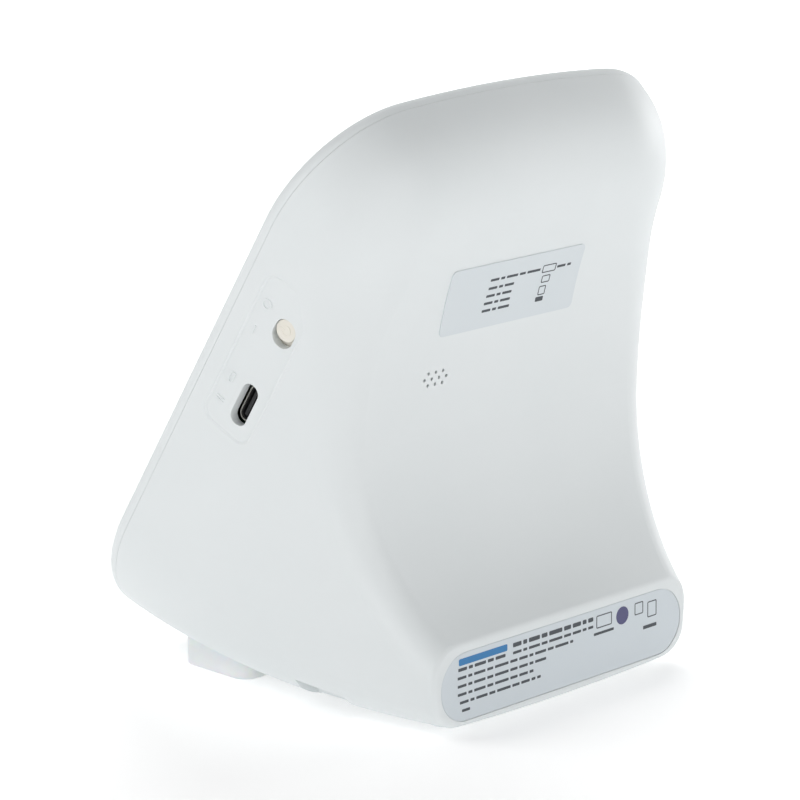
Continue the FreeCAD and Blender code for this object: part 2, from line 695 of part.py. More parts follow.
def socket_place(inside):
    """Placement on the cuff socket's axis, z out of the side wall."""
    return beside(-1, mm("socket_deep"), mm("socket_up"), inside)


def hose_corners():
    """Where the cuff's hose meets the line above its nipple, and the sensor's hose likewise."""
    start = socket_place(0)
    inward = start.Rotation.multVec(Vector(0, 0, -1))
    cuff = start.Base + inward * ((-mm("cuff_nipple_across") - start.Base.x) / inward.x)
    height = MANIFOLD_TOP + mm("hose_rise")
    foot = on_face(-mm("sensor_nipple_across"), 0, SENSOR_DEEP)
    return cuff, foot + UP_FACE * ((height - foot.z) / UP_FACE.z)


CUFF_CORNER, SENSOR_CORNER = hose_corners()
NIPPLE_BASE = MANIFOLD_TOP - mm("nipple_length")
CUFF_NIPPLE = Vector(CUFF_CORNER.x, CUFF_CORNER.y, NIPPLE_BASE)
SENSOR_NIPPLE = Vector(SENSOR_CORNER.x, SENSOR_CORNER.y, NIPPLE_BASE)
VALVE_NIPPLE = Vector(mm("manifold_length / 2 - manifold_across - nipple_length"), -mm("pump_in"),
                      MANIFOLD_TOP - mm("manifold_height / 2"))


def back_place(across, height, inside):
    """Placement at a height on the back above the waist, moved inside, z out of the back."""
    high, radius = back_arcs()[2:]
    slope = math.asin((height - high.z) / radius)
    spoke = Vector(0, -math.cos(slope), math.sin(slope)) * (radius + inside)
    return Placement(high + spoke + ACROSS * across, Rotation(ACROSS, -90 - math.degrees(slope)))


# Front frame: face, window ledge, lip, board posts and screw bosses

def front_frame():
    skin = cut("front_skin", common("front_part", outer, slab("front_slab", FRONT, "seam_depth")), cavity)
    ring = common("lip_ring", feature("lip_outside", case_loft(mm("wall + fit_gap"))),
                  slab("lip_slab", "wall / 2", "seam_depth + lip_reach"))
    lip = cut("lip", ring, feature("lip_inside", case_loft(mm("wall + fit_gap + lip_wall"))))
    solids = [skin, lip]
    holes = [plate("window_seat", f"{WINDOW_WIDTH} + fit_gap", "window_height + fit_gap", "wall",
                   "window_corner", facing(0, mm("window_up"), mm("window_thickness"))),
             plate("window_opening", f"{WINDOW_WIDTH} - 2 * window_ledge",
                   "window_height - 2 * window_ledge", "3 * wall", "window_corner - window_ledge",
                   facing(0, mm("window_up"), mm("2 * wall")))]
    for name, diameter, across, up in BUTTONS:
        holes.append(pin(name + "_hole", f"{diameter} / 2 + moving_gap", across, up, FRONT, "2 * wall"))
    for number, (across, up) in enumerate(POSTS):
        solids.append(pin(f"post_{number}", "post_diameter / 2", across, up, "wall / 2", "board_deep"))
        holes.append(pin(f"post_hole_{number}", "board_screw / 2 + thread_gap", across, up,
                         "board_deep - board_screw_length", "board_deep + wall"))
    for number, across in enumerate(SCREWS):
        seat = SEAT_TOP + mm("fit_gap")
        solids.append(cylinder(f"screw_boss_{number}", "screw_boss / 2", "case_screw_length",
                               rising(across, seat, mm("screw_deep"))))
        solids.append(box(f"screw_web_{number}", "screw_boss / 2", "screw_deep - wall / 2",
                          "case_screw_length", rising(across, seat, mm("(screw_deep + wall / 2) / 2"))))
        holes.append(cylinder(f"screw_hole_{number}", "case_screw / 2 + thread_gap", "2 * case_screw_length",
                              rising(across, seat - mm("wall"), mm("screw_deep"))))
    sub_part("front_frame", cut("frame", fuse("frame_solids", *solids), *holes))


def display():
    sub_part("display_window", plate("window", f"{WINDOW_WIDTH} - fit_gap", "window_height - fit_gap",
                                     "window_thickness", "window_corner - fit_gap / 2",
                                     facing(0, mm("window_up"), mm("window_thickness"))))
    sub_part("display_module", plate("module", f"{WINDOW_WIDTH} - 2 * (window_ledge - module_overlap)",
                                     "window_height - 2 * (window_ledge - module_overlap)",
                                     "module_thickness", "module_corner",
                                     facing(0, mm("window_up"), mm("wall + module_thickness"))))


def buttons():
    for name, diameter, across, up in BUTTONS:
        cap = pin(name + "_cap", f"{diameter} / 2", across, up, "-button_proud", "wall + fit_gap")
        rim = [(number, mm("button_round"), mm("button_round"))
               for number, edge, middle in sharp_edges(computed(cap)) if depth_of(middle) < 0]
        flange = pin(name + "_flange", f"{diameter} / 2 + flange_rim", across, up,
                     "wall + fit_gap", "wall + fit_gap + flange_thickness")
        stem = pin(name + "_stem", "stem_diameter / 2", across, up, "wall", f"{PRESSED_STEM} - button_travel")
        sub_part(name, fuse(name + "_solid", fillet(name + "_round", cap, rim), flange, stem))


def button_switches():
    switches = []
    for name, diameter, across, up in BUTTONS:
        body = block(name + "_switch_body", "switch_size", "switch_size", across, up,
                     "board_deep - switch_height", "board_deep")
        plunger = pin(name + "_switch_plunger", "plunger_diameter / 2", across, up,
                      "board_deep - switch_height - plunger_height", "board_deep - switch_height / 2")
        switches.append(fuse(name + "_switch", body, plunger))
    sub_part("button_switches", group("switches", switches))


# Main board with what is soldered to it

def main_board():
    middle = f"(board_bottom + {BOARD_TOP}) / 2"
    board = plate("board", "2 * (half_width - board_side)", f"{BOARD_TOP} - board_bottom",
                  "board_thickness", "board_corner", facing(0, mm(middle), mm(BOARD_BACK)))

    def screw_holes(sketch):
        places = [(f"{side} * {POST_ACROSS}", f"{up} - {middle}") for side in (-1, 1) for up in POST_HEIGHTS]
        for number, (across, up) in enumerate(places):
            place = Vector(mm(across), mm(up), 0)
            sketch.addGeometry(Part.Circle(place, Vector(0, 0, 1), mm("board_screw / 2 + fit_gap")))
            dimension(sketch, "Radius", (number,), "board_screw / 2 + fit_gap")
            dimension(sketch, "DistanceX", (-1, 1, number, 3), across)
            dimension(sketch, "DistanceY", (-1, 1, number, 3), up)

    pocket(board, "board_screw_holes", None, screw_holes)
    sub_part("main_board", board)
    screws = []
    for number, (across, up) in enumerate(POSTS):
        head = pin(f"board_screw_head_{number}", "board_head / 2", across, up,
                   BOARD_BACK, f"{BOARD_BACK} + board_head_height")
        thread = pin(f"board_screw_thread_{number}", "board_screw / 2", across, up,
                     "board_deep - board_screw_length + thread_gap", f"{BOARD_BACK} + board_head_height / 2")
        screws.append(fuse(f"board_screw_{number}", head, thread))
    sub_part("board_screws", group("screws_of_board", screws))
    chips = [block("controller", "chip_size", "chip_size", 0, mm("chip_up"),
                   BOARD_BACK, f"{BOARD_BACK} + chip_height")]
    for side in (-1, 1):
        across = side * mm("capacitor_across")
        chips.append(pin(f"capacitor_{side + 1}", "capacitor_diameter / 2", across, mm("chip_up"),
                         BOARD_BACK, f"{BOARD_BACK} + capacitor_height"))
    sub_part("board_chips", group("chips", chips))


def usb_socket():
    """USB-C receptacle on the back of the board, its mouth in the side wall."""
    inner_end = PORT_MOUTH - mm("usb_length")
    shell = plate("usb_shell", "usb_width", "usb_height", "usb_length", "usb_width / 2 - thread_gap",
                  along_board(inner_end, PORT_UP, PORT_DEEP))
    hollow = plate("usb_hollow", "usb_width - 2 * usb_sheet", "usb_height - 2 * usb_sheet", "usb_length",
                   "usb_width / 2 - usb_sheet - thread_gap",
                   along_board(inner_end + mm("usb_sheet"), PORT_UP, PORT_DEEP))
    tongue = box("usb_tongue", "tongue_thickness", "tongue_height", "usb_length - 2 * usb_sheet",
                 along_board(inner_end + mm("usb_sheet / 2"), PORT_UP, PORT_DEEP))
    sub_part("usb_socket", fuse("usb", cut("usb_can", shell, hollow), tongue))


def power_slide():
    """Round knob on a plate behind the side wall, with a lever into its switch on the board."""
    place = beside(1, mm("knob_deep"), KNOB_UP, 0)
    outward = place.Rotation.multVec(Vector(0, 0, 1))
    back = shifted(place, -mm("wall + moving_gap + slide_plate"))
    knob = cylinder("knob", "knob_diameter / 2",
                    "wall + moving_gap + slide_plate / 2 - panel_recess - knob_sunk",
                    shifted(back, mm("slide_plate / 2")))
    rim = [(number, mm("knob_round"), mm("knob_round"))
           for number, edge, middle in sharp_edges(computed(knob))
           if (middle - place.Base).dot(outward) > -mm("wall / 2")]
    base = box("slide_plate", "slide_plate_width", "slide_plate_height", "slide_plate", back)
    deep = mm(f"{BOARD_BACK} + slider_width / 2")
    tip = back.Base.x - mm("lever_reach + slider_gap")
    lever = box("slide_lever", "lever_size", "lever_size", "lever_reach + slider_gap + slide_plate / 2",
                along_board(tip, KNOB_UP, deep))
    sub_part("power_slide_knob", fuse("slide", fillet("knob_rounded", knob, rim), base, lever))
    middle_up = KNOB_UP - mm("knob_travel / 2")
    body = box("slider_body", "slider_width", "slider_height", "slider_length",
               along_board(tip + mm("lever_reach - slider_length"), middle_up, deep))
    track = box("slider_track", "lever_size + 2 * moving_gap", "lever_size + knob_travel + 2 * moving_gap",
                "2 * lever_reach", along_board(tip - mm("moving_gap"), middle_up, deep))
    sub_part("slide_switch_body", cut("slider", body, track))


def pressure_sensor():
    across = -mm("sensor_nipple_across")
    middle = mm("sensor_up + sensor_size / 2")
    body = block("sensor_body", "sensor_size", "sensor_size", across, middle,
                 BOARD_BACK, f"{BOARD_BACK} + sensor_height")
    nipple = cylinder("sensor_nipple", "nipple_diameter / 2", "nipple_length + wall",
                      rising(across, mm("sensor_up - nipple_length"), SENSOR_DEEP))
    bore = cylinder("sensor_bore", "nipple_bore / 2", "nipple_length + wall",
                    rising(across, mm("sensor_up - nipple_length - thread_gap"), SENSOR_DEEP))
    sub_part("pressure_sensor", cut("sensor", fuse("sensor_solid", body, nipple), bore))


# Rear shell: sides, back and floor, with its cut-outs, label recess, speaker cup and screw seats

def rear_shell():
    speaker = (mm("speaker_across"), mm("speaker_height"))
    cup_place = back_place(*speaker, mm("wall + speaker_cup_height"))
    cup = cut("speaker_cup_ring",
              cylinder("speaker_cup", "speaker_diameter / 2 + fit_gap + speaker_cup_wall",
                       "wall / 2 + speaker_cup_height", cup_place),
              cylinder("speaker_cup_bore", "speaker_diameter / 2 + fit_gap",
                       "wall + speaker_cup_height", cup_place))
    skin = cut("shell_skin", outer, cavity, slab("seam_slab", FRONT, "seam_depth + seam_gap"))
    solids = [skin, cup]
    holes = []
    hole_place = back_place(*speaker, mm("wall"))
    for row, count in ((-1, 3), (0, 4), (1, 3)):
        for number in range(count):
            offset = Vector((number - (count - 1) / 2) * mm("hole_pitch"), row * mm("row_pitch"), -mm("wall"))
            holes.append(cylinder(f"speaker_hole_{row + 1}_{number}", "hole_diameter / 2", "3 * wall",
                                  hole_place.multiply(Placement(offset, Rotation()))))
    base = mm("screw_seat - case_screw_length")
    for number, across in enumerate(SCREWS):
        depth = mm("screw_deep")
        column = cylinder(f"seat_column_{number}", "screw_boss / 2", "case_screw_length + screw_floor",
                          rising(across, base, depth))
        solids.append(common(f"seat_boss_{number}", column, outer))
        holes.append(cylinder(f"seat_recess_{number}", "case_head / 2 + moving_gap", "case_screw_length",
                              rising(across, base, depth)))
        holes.append(cylinder(f"seat_hole_{number}", "case_screw / 2 + moving_gap", "2 * screw_seat",
                              rising(across, 0, depth)))
    panel_up = (KNOB_UP + mm("panel_above") + PORT_UP - mm("panel_below")) / 2
    panel = plate("panel_cutter", "panel_width", "panel_above + port_below + panel_below", "wall",
                  "panel_corner", beside(1, mm("panel_deep"), panel_up, mm("panel_recess")))
    bind(panel.Tip, TaperAngle="panel_bevel")
    holes.append(panel)
    holes.append(plate("port_cutter", "port_width", "port_height", "3 * wall", "port_width / 2 - thread_gap",
                       along_board(PORT_MOUTH - mm("2 * wall"), PORT_UP, PORT_DEEP)))
    holes.append(plate("slot_cutter", "knob_diameter + 2 * slot_gap",
                       "knob_diameter + knob_travel + 2 * slot_gap", "3 * wall",
                       "knob_diameter / 2 + slot_gap - thread_gap",
                       beside(1, mm("knob_deep"), KNOB_UP - mm("knob_travel / 2"), mm("2 * wall"))))
    holes.append(cylinder("socket_cutter", "socket_bore / 2 + socket_wall + fit_gap", "3 * wall",
                          beside(-1, mm("socket_deep"), mm("socket_up"), mm("2 * wall"))))
    holes.append(plate("label_cutter", LABEL_WIDTH, LABEL_HEIGHT, "wall",
                       f"{LABEL_HEIGHT} / 2 - thread_gap",
                       rearward(0, mm("label_recess"), mm("end_height / 2"))))
    holes.append(plate("door_cutter", "door_length + 2 * moving_gap", f"{DOOR_WIDTH} + 2 * moving_gap",
                       "4 * wall", "door_corner", upright(0, BAY, -mm("2 * wall"))))
    solids.append(common("notch_wall", outer,
                         box("notch_block", "half_width", "notch_width + 2 * wall", "notch_height + wall",
                             upright(NOTCH_START - mm("wall - half_width / 2"), mm("notch_in"), 0))))
    holes.append(box("notch_step", f"{NOTCH_REACH} + wall", "notch_width", "wall + notch_depth",
                     upright(NOTCH_START + mm(f"(wall - {NOTCH_REACH}) / 2"), mm("notch_in"), -mm("wall"))))
    roof = Placement(Vector(NOTCH_START + mm("half_width / 2"), -mm("notch_in"), mm("notch_height")),
                     Rotation(ACROSS, 180 - mm("notch_tilt")))
    holes.append(box("notch_cutter", "half_width", "notch_width", "2 * notch_height", roof))
    sub_part("rear_shell", cut("shell", fuse("shell_solids", *solids), *holes))


def case_screws():
    screws = []
    for number, across in enumerate(SCREWS):
        seat = mm("screw_seat")
        head = cylinder(f"case_screw_head_{number}", "case_head / 2", "case_head_height",
                        rising(across, seat - mm("case_head_height"), mm("screw_deep")))
        thread = cylinder(f"case_screw_thread_{number}", "case_screw / 2", "case_screw_length",
                          rising(across, seat, mm("screw_deep")))
        screws.append(fuse(f"case_screw_{number}", head, thread))
    sub_part("case_screws", group("screws_of_case", screws))


def speaker():
    place = (mm("speaker_across"), mm("speaker_height"))
    back = mm("wall + fit_gap + speaker_thickness")
    rim = cylinder("speaker_rim", "speaker_diameter / 2", "speaker_thickness - speaker_magnet_height",
                   back_place(*place, back - mm("speaker_magnet_height")))
    magnet = cylinder("speaker_magnet", "speaker_magnet / 2", "speaker_thickness - wall / 2",
                      back_place(*place, back))
    sub_part("speaker", fuse("speaker_solid", rim, magnet))


# Air parts: cuff socket, pump, valve, manifold and hoses

def cuff_socket():
    tube = cylinder("socket_tube", "socket_bore / 2 + socket_wall", SOCKET_DEPTH,
                    socket_place(mm(SOCKET_DEPTH)))
    flange = cylinder("socket_flange_disc", FLANGE_RADIUS, "socket_flange_thickness",
                      socket_place(mm("wall + fit_gap + ring_thickness + socket_flange_thickness")))
    nipple = cylinder("socket_nipple", "nipple_diameter / 2", "nipple_length + socket_base / 2",
                      socket_place(mm(f"{SOCKET_DEPTH} + nipple_length")))
    bore = cylinder("socket_bore_hole", "socket_bore / 2", "2 * socket_length",
                    socket_place(mm("socket_length")))
    air = cylinder("socket_air_hole", "nipple_bore / 2", "2 * nipple_length + socket_base",
                   socket_place(mm(f"{SOCKET_DEPTH} + nipple_length + thread_gap")))
    sub_part("cuff_socket", cut("socket", fuse("socket_solid", tube, flange, nipple), bore, air))
    ring_back = mm("wall + fit_gap / 2 + ring_thickness")
    ring = cylinder("ring_disc", FLANGE_RADIUS, "ring_thickness", socket_place(ring_back))
    hole = cylinder("ring_hole", "socket_bore / 2 + socket_wall + thread_gap", "3 * ring_thickness",
                    socket_place(ring_back + mm("ring_thickness")))
    sub_part("cuff_seal_ring", cut("ring", ring, hole))


def pump():
    left = -mm("head_left")
    head_end = left + mm("head_length")
    axis_place = (mm("pump_in"), PUMP_AXIS)
    head = box("head_block", "head_length", "head_square", "head_square",
               upright(left + mm("head_length / 2"), mm("pump_in"), TRAY_TOP))
    long_edges = [(number, mm("head_round"), mm("head_round"))
                  for number, edge, middle in sharp_edges(computed(head))
                  if abs(middle.x - left - mm("head_length / 2")) < mm("moving_gap")]
    chamber = cylinder("pump_chamber", "chamber_diameter / 2", "head_length - 2 * chamber_wall",
                       along_x(left + mm("chamber_wall"), *axis_place))
    shaft_hole = cylinder("head_shaft_hole", "shaft_diameter / 2 + shaft_gap", "head_length / 2",
                          along_x(head_end - mm("2 * chamber_wall"), *axis_place))
    sub_part("pump_head", cut("head", fillet("head_round_block", head, long_edges), chamber, shaft_hole))
    sub_part("pump_diaphragm", cylinder("diaphragm", "chamber_diameter / 2", "diaphragm_thickness",
                                        along_x(left + mm("chamber_wall"), *axis_place)))
    can = cylinder("motor_can", "motor_diameter / 2", "motor_length", along_x(head_end, *axis_place))
    bearing = cylinder("motor_bearing", "shaft_diameter / 2 + shaft_gap", "2 * (shaft_grip + shaft_gap)",
                       along_x(head_end - mm("shaft_grip + shaft_gap"), *axis_place))
    sub_part("pump_motor", cut("motor", can, bearing))
    disc_end = head_end - mm("chamber_wall + moving_gap")
    shaft = cylinder("crank_shaft", "shaft_diameter / 2",
                     "shaft_grip + chamber_wall + moving_gap + crank_length / 2",
                     along_x(disc_end - mm("crank_length / 2"), *axis_place))
    disc = cylinder("crank_disc", "crank_diameter / 2", "crank_length",
                    along_x(disc_end - mm("crank_length"), mm("pump_in"), PUMP_AXIS + mm("crank_offset")))
    sub_part("pump_crank", fuse("crank", shaft, disc))
    saddle = box("saddle_block", "saddle_length", "motor_diameter", "saddle_height",
                 upright(head_end + mm("motor_length / 2"), mm("pump_in"), TRAY_TOP))
    seat = cylinder("saddle_seat", "motor_diameter / 2", "motor_length", along_x(head_end, *axis_place))
    sub_part("pump_saddle", cut("saddle", saddle, seat))


def deflate_valve():
    place = (mm("valve_across"), mm("pump_in"))
    frame = box("valve_frame", "valve_length", "valve_width", "valve_height", upright(*place, TRAY_TOP))
    coil_top = TRAY_TOP + mm("valve_height")
    cap = cylinder("valve_cap", "valve_length / 2", "valve_cap_height", upright(*place, coil_top))
    top = coil_top + mm("valve_cap_height")
    nipple = cylinder("valve_nipple", "nipple_diameter / 2", "nipple_length + valve_cap_wall / 2",
                      upright(*place, top - mm("valve_cap_wall / 2")))
    bore_floor = coil_top - mm("valve_bore_depth")
    bore = cylinder("valve_bore", "valve_plunger / 2 + valve_gap", "valve_bore_depth + wall",
                    upright(*place, bore_floor))
    room = cylinder("valve_room", "valve_length / 2 - valve_cap_wall", "valve_cap_height - valve_cap_wall",
                    upright(*place, coil_top))
    air = cylinder("valve_air", "nipple_bore / 2", "2 * nipple_length",
                   upright(*place, top - mm("2 * valve_cap_wall")))
    sub_part("deflate_valve", cut("valve", fuse("valve_solid", frame, cap, nipple), bore, room, air))
    seal_top = top - mm("valve_cap_wall + thread_gap")
    rod = cylinder("plunger_rod", "valve_plunger / 2", "valve_plunger_length",
                   upright(*place, seal_top - mm("valve_plunger_length")))
    seal = cylinder("plunger_seal", "valve_seal / 2", "valve_seal_thickness",
                    upright(*place, seal_top - mm("valve_seal_thickness")))
    sub_part("valve_plunger", fuse("plunger", rod, seal))
    room_under = seal_top - mm("valve_plunger_length + thread_gap") - bore_floor
    sub_part("valve_spring", feature("spring_of_valve", coil("valve_plunger", room_under,
                                                             upright(*place, bore_floor))))


def coil(diameter, length, place):
    """Compression spring of wire in half turns, standing on its placement."""
    wire = mm("spring_wire")
    radius = (mm(diameter) - wire) / 2
    halves = int(mm("2 * spring_turns"))
    rise = (length - wire) / halves
    section = Part.Face(Part.Wire(Part.makeCircle(wire / 2, Vector(radius, 0, wire / 2), Vector(0, 1, 0))))
    turned = []
    for number in range(halves):
        side = (-1) ** number
        section.Placement = Placement(Vector((side - 1) * radius, 0, number * rise), Rotation())
        middle = Vector(0, 0, wire / 2 + (number + 1 / 2) * rise)
        turned.append(section.revolve(middle, Vector(side * rise / 2, 0, radius), 180))
    spring = turned[0].fuse(turned[1:])
    spring.Placement = place.multiply(spring.Placement)
    return spring


def manifold():
    """Air block on the pump head, with nipples for the cuff socket, the valve and the sensor."""
    solids = [box("manifold_block", "manifold_length", "manifold_width", "manifold_height",
                  upright(-mm("manifold_across"), mm("pump_in + manifold_forward"),
                          TRAY_TOP + mm("head_square")))]
    bores = []
    ports = [(CUFF_NIPPLE, upright), (SENSOR_NIPPLE, upright), (VALVE_NIPPLE, along_x)]
    for number, (start, place) in enumerate(ports):
        solids.append(cylinder(f"manifold_nipple_{number}", "nipple_diameter / 2", "2 * nipple_length",
                               place(start.x, -start.y, start.z)))
        bores.append(cylinder(f"manifold_bore_{number}", "nipple_bore / 2", "3 * nipple_length",
                              place(start.x, -start.y, start.z)))
    sub_part("air_manifold", cut("manifold", fuse("manifold_solid", *solids), *bores))


def hose(name, points):
    """Silicone hose along straight runs joined by arcs of the same bend radius."""
    edges = []
    start = points[0]
    for before, corner, after in zip(points, points[1:], points[2:]):
        into = (corner - before).normalize()
        onward = (after - corner).normalize()
        turn = into.getAngle(onward)
        setback = mm("hose_bend") * math.tan(turn / 2)
        first = corner - into * setback
        last = corner + onward * setback
        middle = corner + (onward - into).normalize() * mm("hose_bend") * (1 / math.cos(turn / 2) - 1)
        edges.extend([Part.LineSegment(start, first).toShape(), Part.Arc(first, middle, last).toShape()])
        start = last
    edges.append(Part.LineSegment(start, points[-1]).toShape())
    path = Part.Wire(edges)
    heading = points[1] - points[0]
    tubes = [path.makePipe(Part.Face(Part.Wire(Part.makeCircle(mm(diameter) / 2, points[0], heading))))
             for diameter in ("hose_diameter", "hose_bore")]
    return feature(name, tubes[0].cut(tubes[1]))


def hoses():
    hose_end = MANIFOLD_TOP + mm("fit_gap")
    cuff = hose("cuff_hose", [socket_place(mm(f"{SOCKET_DEPTH} + fit_gap")).Base, CUFF_CORNER,
                              Vector(CUFF_CORNER.x, CUFF_CORNER.y, hose_end)])
    sensor = hose("sensor_hose", [Vector(SENSOR_CORNER.x, SENSOR_CORNER.y, hose_end), SENSOR_CORNER,
                                  on_face(SENSOR_CORNER.x, mm("sensor_up - fit_gap"), SENSOR_DEEP)])
    valve_top = TRAY_TOP + mm("valve_height + valve_cap_height + fit_gap")
    corner = Vector(mm("valve_across"), VALVE_NIPPLE.y, VALVE_NIPPLE.z)
    start = VALVE_NIPPLE + ACROSS * mm("nipple_length + fit_gap")
    valve = hose("valve_hose", [start, corner, Vector(corner.x, corner.y, valve_top)])
    sub_part("air_hoses", group("hoses", [cuff, sensor, valve]))


# Battery bay: tray, cells, contacts and door

CELL_MIDDLE = TRAY_TOP - mm("tray_wall + fit_gap + cell_diameter / 2")
CONTACT_SPAN = "cell_length + contact_spring"
CONTACTS_LEFT = -mm(f"({CONTACT_SPAN}) / 2")
CONTACTS_RIGHT = mm(f"({CONTACT_SPAN}) / 2")


def cell_rows():
    """Each cell's number, its place in from the end face, and whether its spring is on the left."""
    count = int(mm("cell_count"))
    return [(number, BAY + (number - (count - 1) / 2) * mm(CELL_PITCH), number % 2 == 0)
            for number in range(count)]


def battery_tray():
    width = "door_length + 2 * tray_margin"
    length = f"{DOOR_WIDTH} + 2 * (moving_gap + fit_gap + tray_wall)"
    body = plate("tray", width, length, "tray_height", "door_corner", upright(0, BAY, mm("wall")))
    pocket(body, "tray_hollow", "tray_height - tray_wall",
           lambda sketch: rounded_rectangle(sketch, f"{width} - 2 * tray_wall", f"{length} - 2 * tray_wall",
                                            "door_corner - tray_wall"))
    ribs = []
    for name, across in (("left", CONTACTS_LEFT - mm("contact_thickness + tray_wall / 2")),
                         ("right", CONTACTS_RIGHT + mm("contact_thickness + tray_wall / 2"))):
        ribs.append(box(f"{name}_rib", "tray_wall", f"{length} - tray_wall",
                        "wall + tray_height - tray_wall / 2 - rib_bottom",
                        upright(across, BAY, mm("rib_bottom"))))
    sub_part("battery_tray", fuse("tray_solid", common("tray_on_floor", body, inner), *ribs))


def cells_and_contacts():
    cells, plates, springs = [], [], []
    for number, row, spring_left in cell_rows():
        ends = (CONTACTS_LEFT, CONTACTS_RIGHT)
        body_start = ends[0] + (mm("contact_spring") if spring_left else mm("nub_length"))
        can = cylinder(f"cell_can_{number}", "cell_diameter / 2", "cell_length - nub_length",
                       along_x(body_start, row, CELL_MIDDLE))
        nub_start = body_start + mm("cell_length - 2 * nub_length") if spring_left else ends[0]
        nub = cylinder(f"cell_nub_{number}", "nub_diameter / 2", "2 * nub_length",
                       along_x(nub_start, row, CELL_MIDDLE))
        cells.append(fuse(f"cell_{number}", can, nub))
        for side, end in zip((-1, 1), ends):
            plates.append(box(f"contact_{number}_{side + 1}", "contact_thickness", "contact_width",
                              "contact_height", upright(end + side * mm("contact_thickness / 2"), row,
                                                        CELL_MIDDLE - mm("contact_height / 2"))))
        spring_start = ends[0] if spring_left else ends[1] - mm("contact_spring")
        springs.append(feature(f"contact_spring_{number}",
                               coil("contact_spring_diameter", mm("contact_spring"),
                                    along_x(spring_start, row, CELL_MIDDLE))))
    sub_part("battery_cells", group("cells", cells))
    sub_part("battery_contacts", group("contacts", plates))
    sub_part("contact_springs", group("springs", springs))


def battery_door():
    prism = plate("door_prism", "door_length", DOOR_WIDTH, "4 * wall", "door_corner - moving_gap",
                  upright(0, BAY, -mm("2 * wall")))
    solids = [common("door_skin", cut("case_wall", outer, inner), prism)]
    hook_base = mm("wall + tab_lift")
    for side in (-1, 1):
        row = BAY + side * mm("tab_spacing / 2")
        solids.append(box(f"hook_tab_{side + 1}", "tab_reach + tab_root", "tab_width", "tab_thickness",
                          upright(-mm("(door_length + tab_reach - tab_root) / 2"), row, hook_base)))
        solids.append(box(f"hook_riser_{side + 1}", "tab_root - moving_gap", "tab_width",
                          "wall / 2 + tab_lift + tab_thickness",
                          upright(-mm("(door_length - tab_root - moving_gap) / 2"), row, mm("wall / 2"))))
    solids.append(box("latch_tongue", "latch_thickness", "tongue_width", "wall / 2 + latch_height",
                      upright(mm("(door_length - latch_thickness) / 2 - latch_inset"), mm("notch_in"),
                              mm("wall / 2"))))
    sub_part("battery_door", fuse("door", *solids))


# Feet and labels

def sole_edges(shape):
    """The edges round a foot's sole, with their round."""
    return [(number, mm("foot_edge"), mm("foot_edge")) for number, edge, middle in sharp_edges(shape)
            if middle.z < -mm("foot_height / 2")]


def feet():
    fronts = []
    for side in (-1, 1):
        piece = box(f"front_foot_block_{side + 1}", "front_foot_width", "front_foot_length",
                    "front_foot_block",
                    upright(side * mm("front_foot_across"), mm("front_foot_in"), -mm("foot_height")))
        half_up = mm("front_foot_block / 2 - foot_height")
        corners = [(number, mm("front_foot_round"), mm("front_foot_round"))
                   for number, edge, middle in sharp_edges(computed(piece))
                   if abs(middle.z - half_up) < mm("thread_gap")]
        rounded = fillet(f"front_foot_rounded_{side + 1}", piece, corners)
        soled = fillet(f"front_foot_soled_{side + 1}", rounded, sole_edges(rounded.Shape))
        front = -mm("front_foot_in + front_foot_length / 2")
        tip = Vector(side * mm("front_foot_across"), front, mm("toe_height - foot_height"))
        slope = Placement(tip, Rotation(ACROSS, 180 - mm("atan(toe_height / toe_length)")))
        above = Placement(tip, Rotation(ACROSS, 90 - mm("toe_lean")))
        cutters = [box(f"front_foot_{name}_{side + 1}", "2 * front_foot_width", "2 * front_foot_block",
                       "front_foot_block", place) for name, place in (("slope", slope), ("above", above))]
        fronts.append(cut(f"front_foot_{side + 1}", soled, outer, *cutters))
    sub_part("front_feet", group("feet_at_front", fronts))
    rears = []
    for side in (-1, 1):
        pad = cylinder(f"rear_pad_{side + 1}", "rear_foot_diameter / 2", "foot_height",
                       upright(side * mm("rear_foot_across"), mm("rear_foot_in"), -mm("foot_height")))
        rears.append(fillet(f"rear_foot_{side + 1}", pad, sole_edges(computed(pad))))
    sub_part("rear_feet", group("feet_at_rear", rears))


def labels():
    rating = plate("rating", f"{LABEL_WIDTH} - 2 * label_gap", f"{LABEL_HEIGHT} - 2 * label_gap",
                   "label_thickness", f"{LABEL_HEIGHT} / 2 - label_gap - thread_gap",
                   rearward(0, mm("label_recess"), mm("end_height / 2")))
    sub_part("rating_label", rating)
    middle = back_arcs()[2]
    place = along_x(mm("lot_across - lot_width / 2"), -middle.y, middle.z)
    ring = cut("lot_ring", cylinder("lot_back", "back_radius", "lot_width", place),
               cylinder("lot_face", "back_radius - label_thickness", "lot_width", place))
    window = plate("lot_window", "lot_width", "lot_top - lot_bottom", "2 * waist_in", "lot_corner",
                   rearward(mm("lot_across"), mm("2 * waist_in"), mm("(lot_bottom + lot_top) / 2")))
    sub_part("lot_label", common("lot", ring, window))


front_frame()
display()
buttons()
button_switches()
main_board()
usb_socket()
power_slide()
pressure_sensor()
rear_shell()
case_screws()
speaker()
cuff_socket()
pump()
deflate_valve()
manifold()
hoses()
battery_tray()
cells_and_contacts()
battery_door()
feet()
labels()
doc.recompute()

skin_depths = [point.y for point in outer.Shape.tessellate(mm("thread_gap"))[0]]
middle_y = (min(skin_depths) + max(skin_depths)) / 2
stand = Placement(Vector(0, -middle_y, mm("foot_height")), Rotation())
for piece in nodes:
    piece.Placement = stand.multiply(piece.Placement)
doc.recompute()

for thing in doc.Objects:
    if {"Invalid", "Error"} & set(thing.State):
        raise RuntimeError(f"{thing.Name} failed: {thing.State}")
for piece in nodes:
    if piece.Shape.isNull() or not piece.Shape.isValid() or not piece.Shape.Solids:
        raise RuntimeError(f"{piece.Label} has no valid solid")

